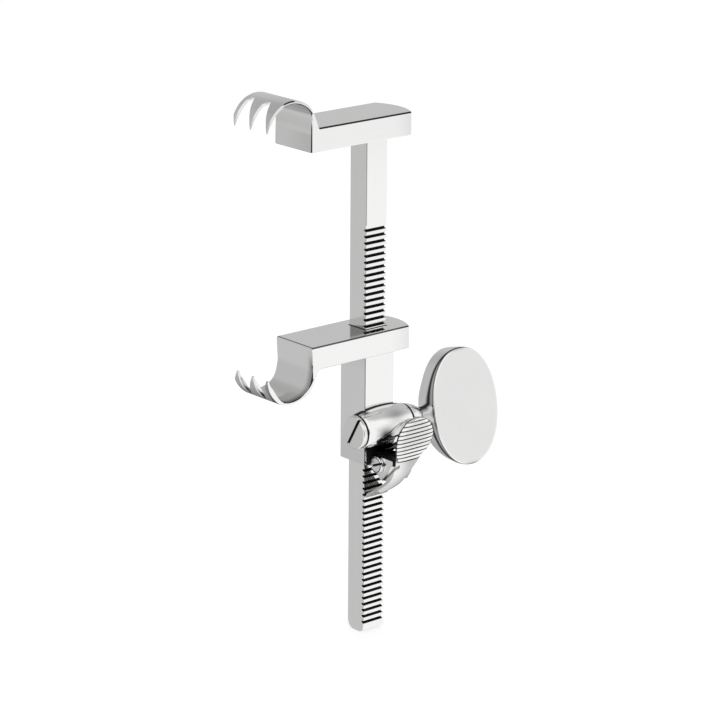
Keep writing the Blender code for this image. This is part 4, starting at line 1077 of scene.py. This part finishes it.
def look_up(azimuth, elevation, roll):
    """The camera's right, up and back directions."""
    flat = math.cos(elevation)
    back = Vector((math.sin(azimuth) * flat, -math.cos(azimuth) * flat, math.sin(elevation)))
    right = Vector((math.cos(azimuth), math.sin(azimuth), 0.0))
    up = back.cross(right)
    turned_right = math.cos(roll) * right + math.sin(roll) * up
    turned_up = math.cos(roll) * up - math.sin(roll) * right
    return turned_right, turned_up, back


def studio_world():
    """White for the camera, and for everything else a bright room with the soft patches of STUDIO_PATCHES.

    Each patch blends the light so far with its own brightness, by a smooth step of the cosine to its direction.
    """
    world = bpy.data.worlds.new("studio")
    bpy.context.scene.world = world
    tree = Tree(world)
    direction = tree.node("ShaderNodeTexCoord", output="Generated")
    light = STUDIO_LIGHT
    for way, start, end, level_there in STUDIO_PATCHES:
        length = math.sqrt(sum(part * part for part in way))
        values = [direction, tuple(part / length for part in way)]
        cosine = tree.node("ShaderNodeVectorMath", {"operation": "DOT_PRODUCT"}, values, output="Value")
        mask = cosine.step(start, end)
        light = light * (1.0 - mask) + level_there * mask
    camera = tree.camera_ray()
    strength = camera + (1.0 - camera) * light
    surface = tree.node("ShaderNodeBackground", values={"Color": WHITE, "Strength": strength})
    tree.node("ShaderNodeOutputWorld", values={"Surface": surface})


def floor_material():
    """Pale floor that the camera sees as white, apart from the object's soft shadow."""
    material = bpy.data.materials.new("pale_floor")
    tree = Tree(material)
    diffuse = tree.node("ShaderNodeBsdfDiffuse", values={"Color": (FLOOR_SHADE,) * 3 + (1.0,)})
    glow = tree.node("ShaderNodeEmission", values={"Color": WHITE, "Strength": 1.0})
    surface = tree.node("ShaderNodeMixShader", values=[tree.camera_ray() * FLOOR_GLOW, diffuse, glow])
    tree.node("ShaderNodeOutputMaterial", values={"Surface": surface})
    return material


def area_lamp(name, spot, size, watts):
    """A soft square lamp that stands at a spot and points at the object; its own shape isn't mirrored."""
    data = bpy.data.lights.new(name, "AREA")
    data.shape = "SQUARE"
    data.size = size
    data.energy = watts
    item = bpy.data.objects.new(name, data)
    item.location = spot
    item.rotation_euler = (Vector(LAMP_AIM) - Vector(spot)).to_track_quat("-Z", "Y").to_euler()
    item.visible_glossy = False
    item.visible_camera = False
    bpy.context.scene.collection.objects.link(item)


class CONTRACTOR_OT_stage(bpy.types.Operator):
    """Set up the floor, the lamps, the studio and the camera"""

    bl_idname = "contractor.stage"
    bl_label = "Stage"

    def execute(self, context):
        settings = context.scene.contractor_stage
        half = settings.floor_size / 2.0
        mesh = bpy.data.meshes.new("floor")
        corners = np.array([(-half, -half, 0.0), (half, -half, 0.0), (half, half, 0.0), (-half, half, 0.0)])
        mesh.from_pydata((corners - (0.0, 0.0, FLOOR_DROP)).tolist(), [], [(0, 1, 2, 3)])
        floor = bpy.data.objects.new("floor", mesh)
        context.scene.collection.objects.link(floor)
        mesh.materials.append(floor_material())
        floor.visible_glossy = False
        studio_world()
        for lamp in LAMPS:
            area_lamp(*lamp)
        right, up, back = look_up(settings.azimuth, settings.elevation, settings.roll)
        data = bpy.data.cameras.new("camera")
        data.sensor_width = SENSOR_W
        data.lens = settings.lens
        data.clip_start, data.clip_end = CLIP
        camera = bpy.data.objects.new("camera", data)
        rows = [(*parts, 1.0 if k == 3 else 0.0) for k, parts in enumerate((right, up, back, settings.spot))]
        camera.matrix_world = Matrix(rows).transposed()
        context.scene.collection.objects.link(camera)
        context.scene.camera = camera
        context.scene.view_settings.view_transform = "Standard"
        return {"FINISHED"}


class CONTRACTOR_PT_panel(bpy.types.Panel):
    """Buttons and sizes for the rib contractor"""

    bl_idname = "CONTRACTOR_PT_panel"
    bl_label = "Rib contractor"
    bl_space_type = "VIEW_3D"
    bl_region_type = "UI"
    bl_category = "Contractor"

    def draw(self, context):
        layout = self.layout
        for group in (context.scene.contractor_steel, context.scene.contractor_stage):
            for key in group.__annotations__:
                layout.prop(group, key)
        for step in STEPS:
            layout.operator(step.bl_idname)


STEPS = (
    CONTRACTOR_OT_rack,
    CONTRACTOR_OT_arms,
    CONTRACTOR_OT_sleeve,
    CONTRACTOR_OT_key,
    CONTRACTOR_OT_lever,
    CONTRACTOR_OT_screws,
    CONTRACTOR_OT_stage,
)
CLASSES = (SteelSettings, StageSettings, *STEPS, CONTRACTOR_PT_panel)


def register():
    """Make the settings, the operators and the panel known to Blender."""
    for item in CLASSES:
        bpy.utils.register_class(item)
    bpy.types.Scene.contractor_steel = bpy.props.PointerProperty(type=SteelSettings)
    bpy.types.Scene.contractor_stage = bpy.props.PointerProperty(type=StageSettings)


def unregister():
    """Take them away again."""
    del bpy.types.Scene.contractor_stage
    del bpy.types.Scene.contractor_steel
    for item in reversed(CLASSES):
        bpy.utils.unregister_class(item)


def main():
    register()
    for step in STEPS:
        group, name = step.bl_idname.split(".")
        getattr(getattr(bpy.ops, group), name)()


if __name__ == "__main__":
    main()
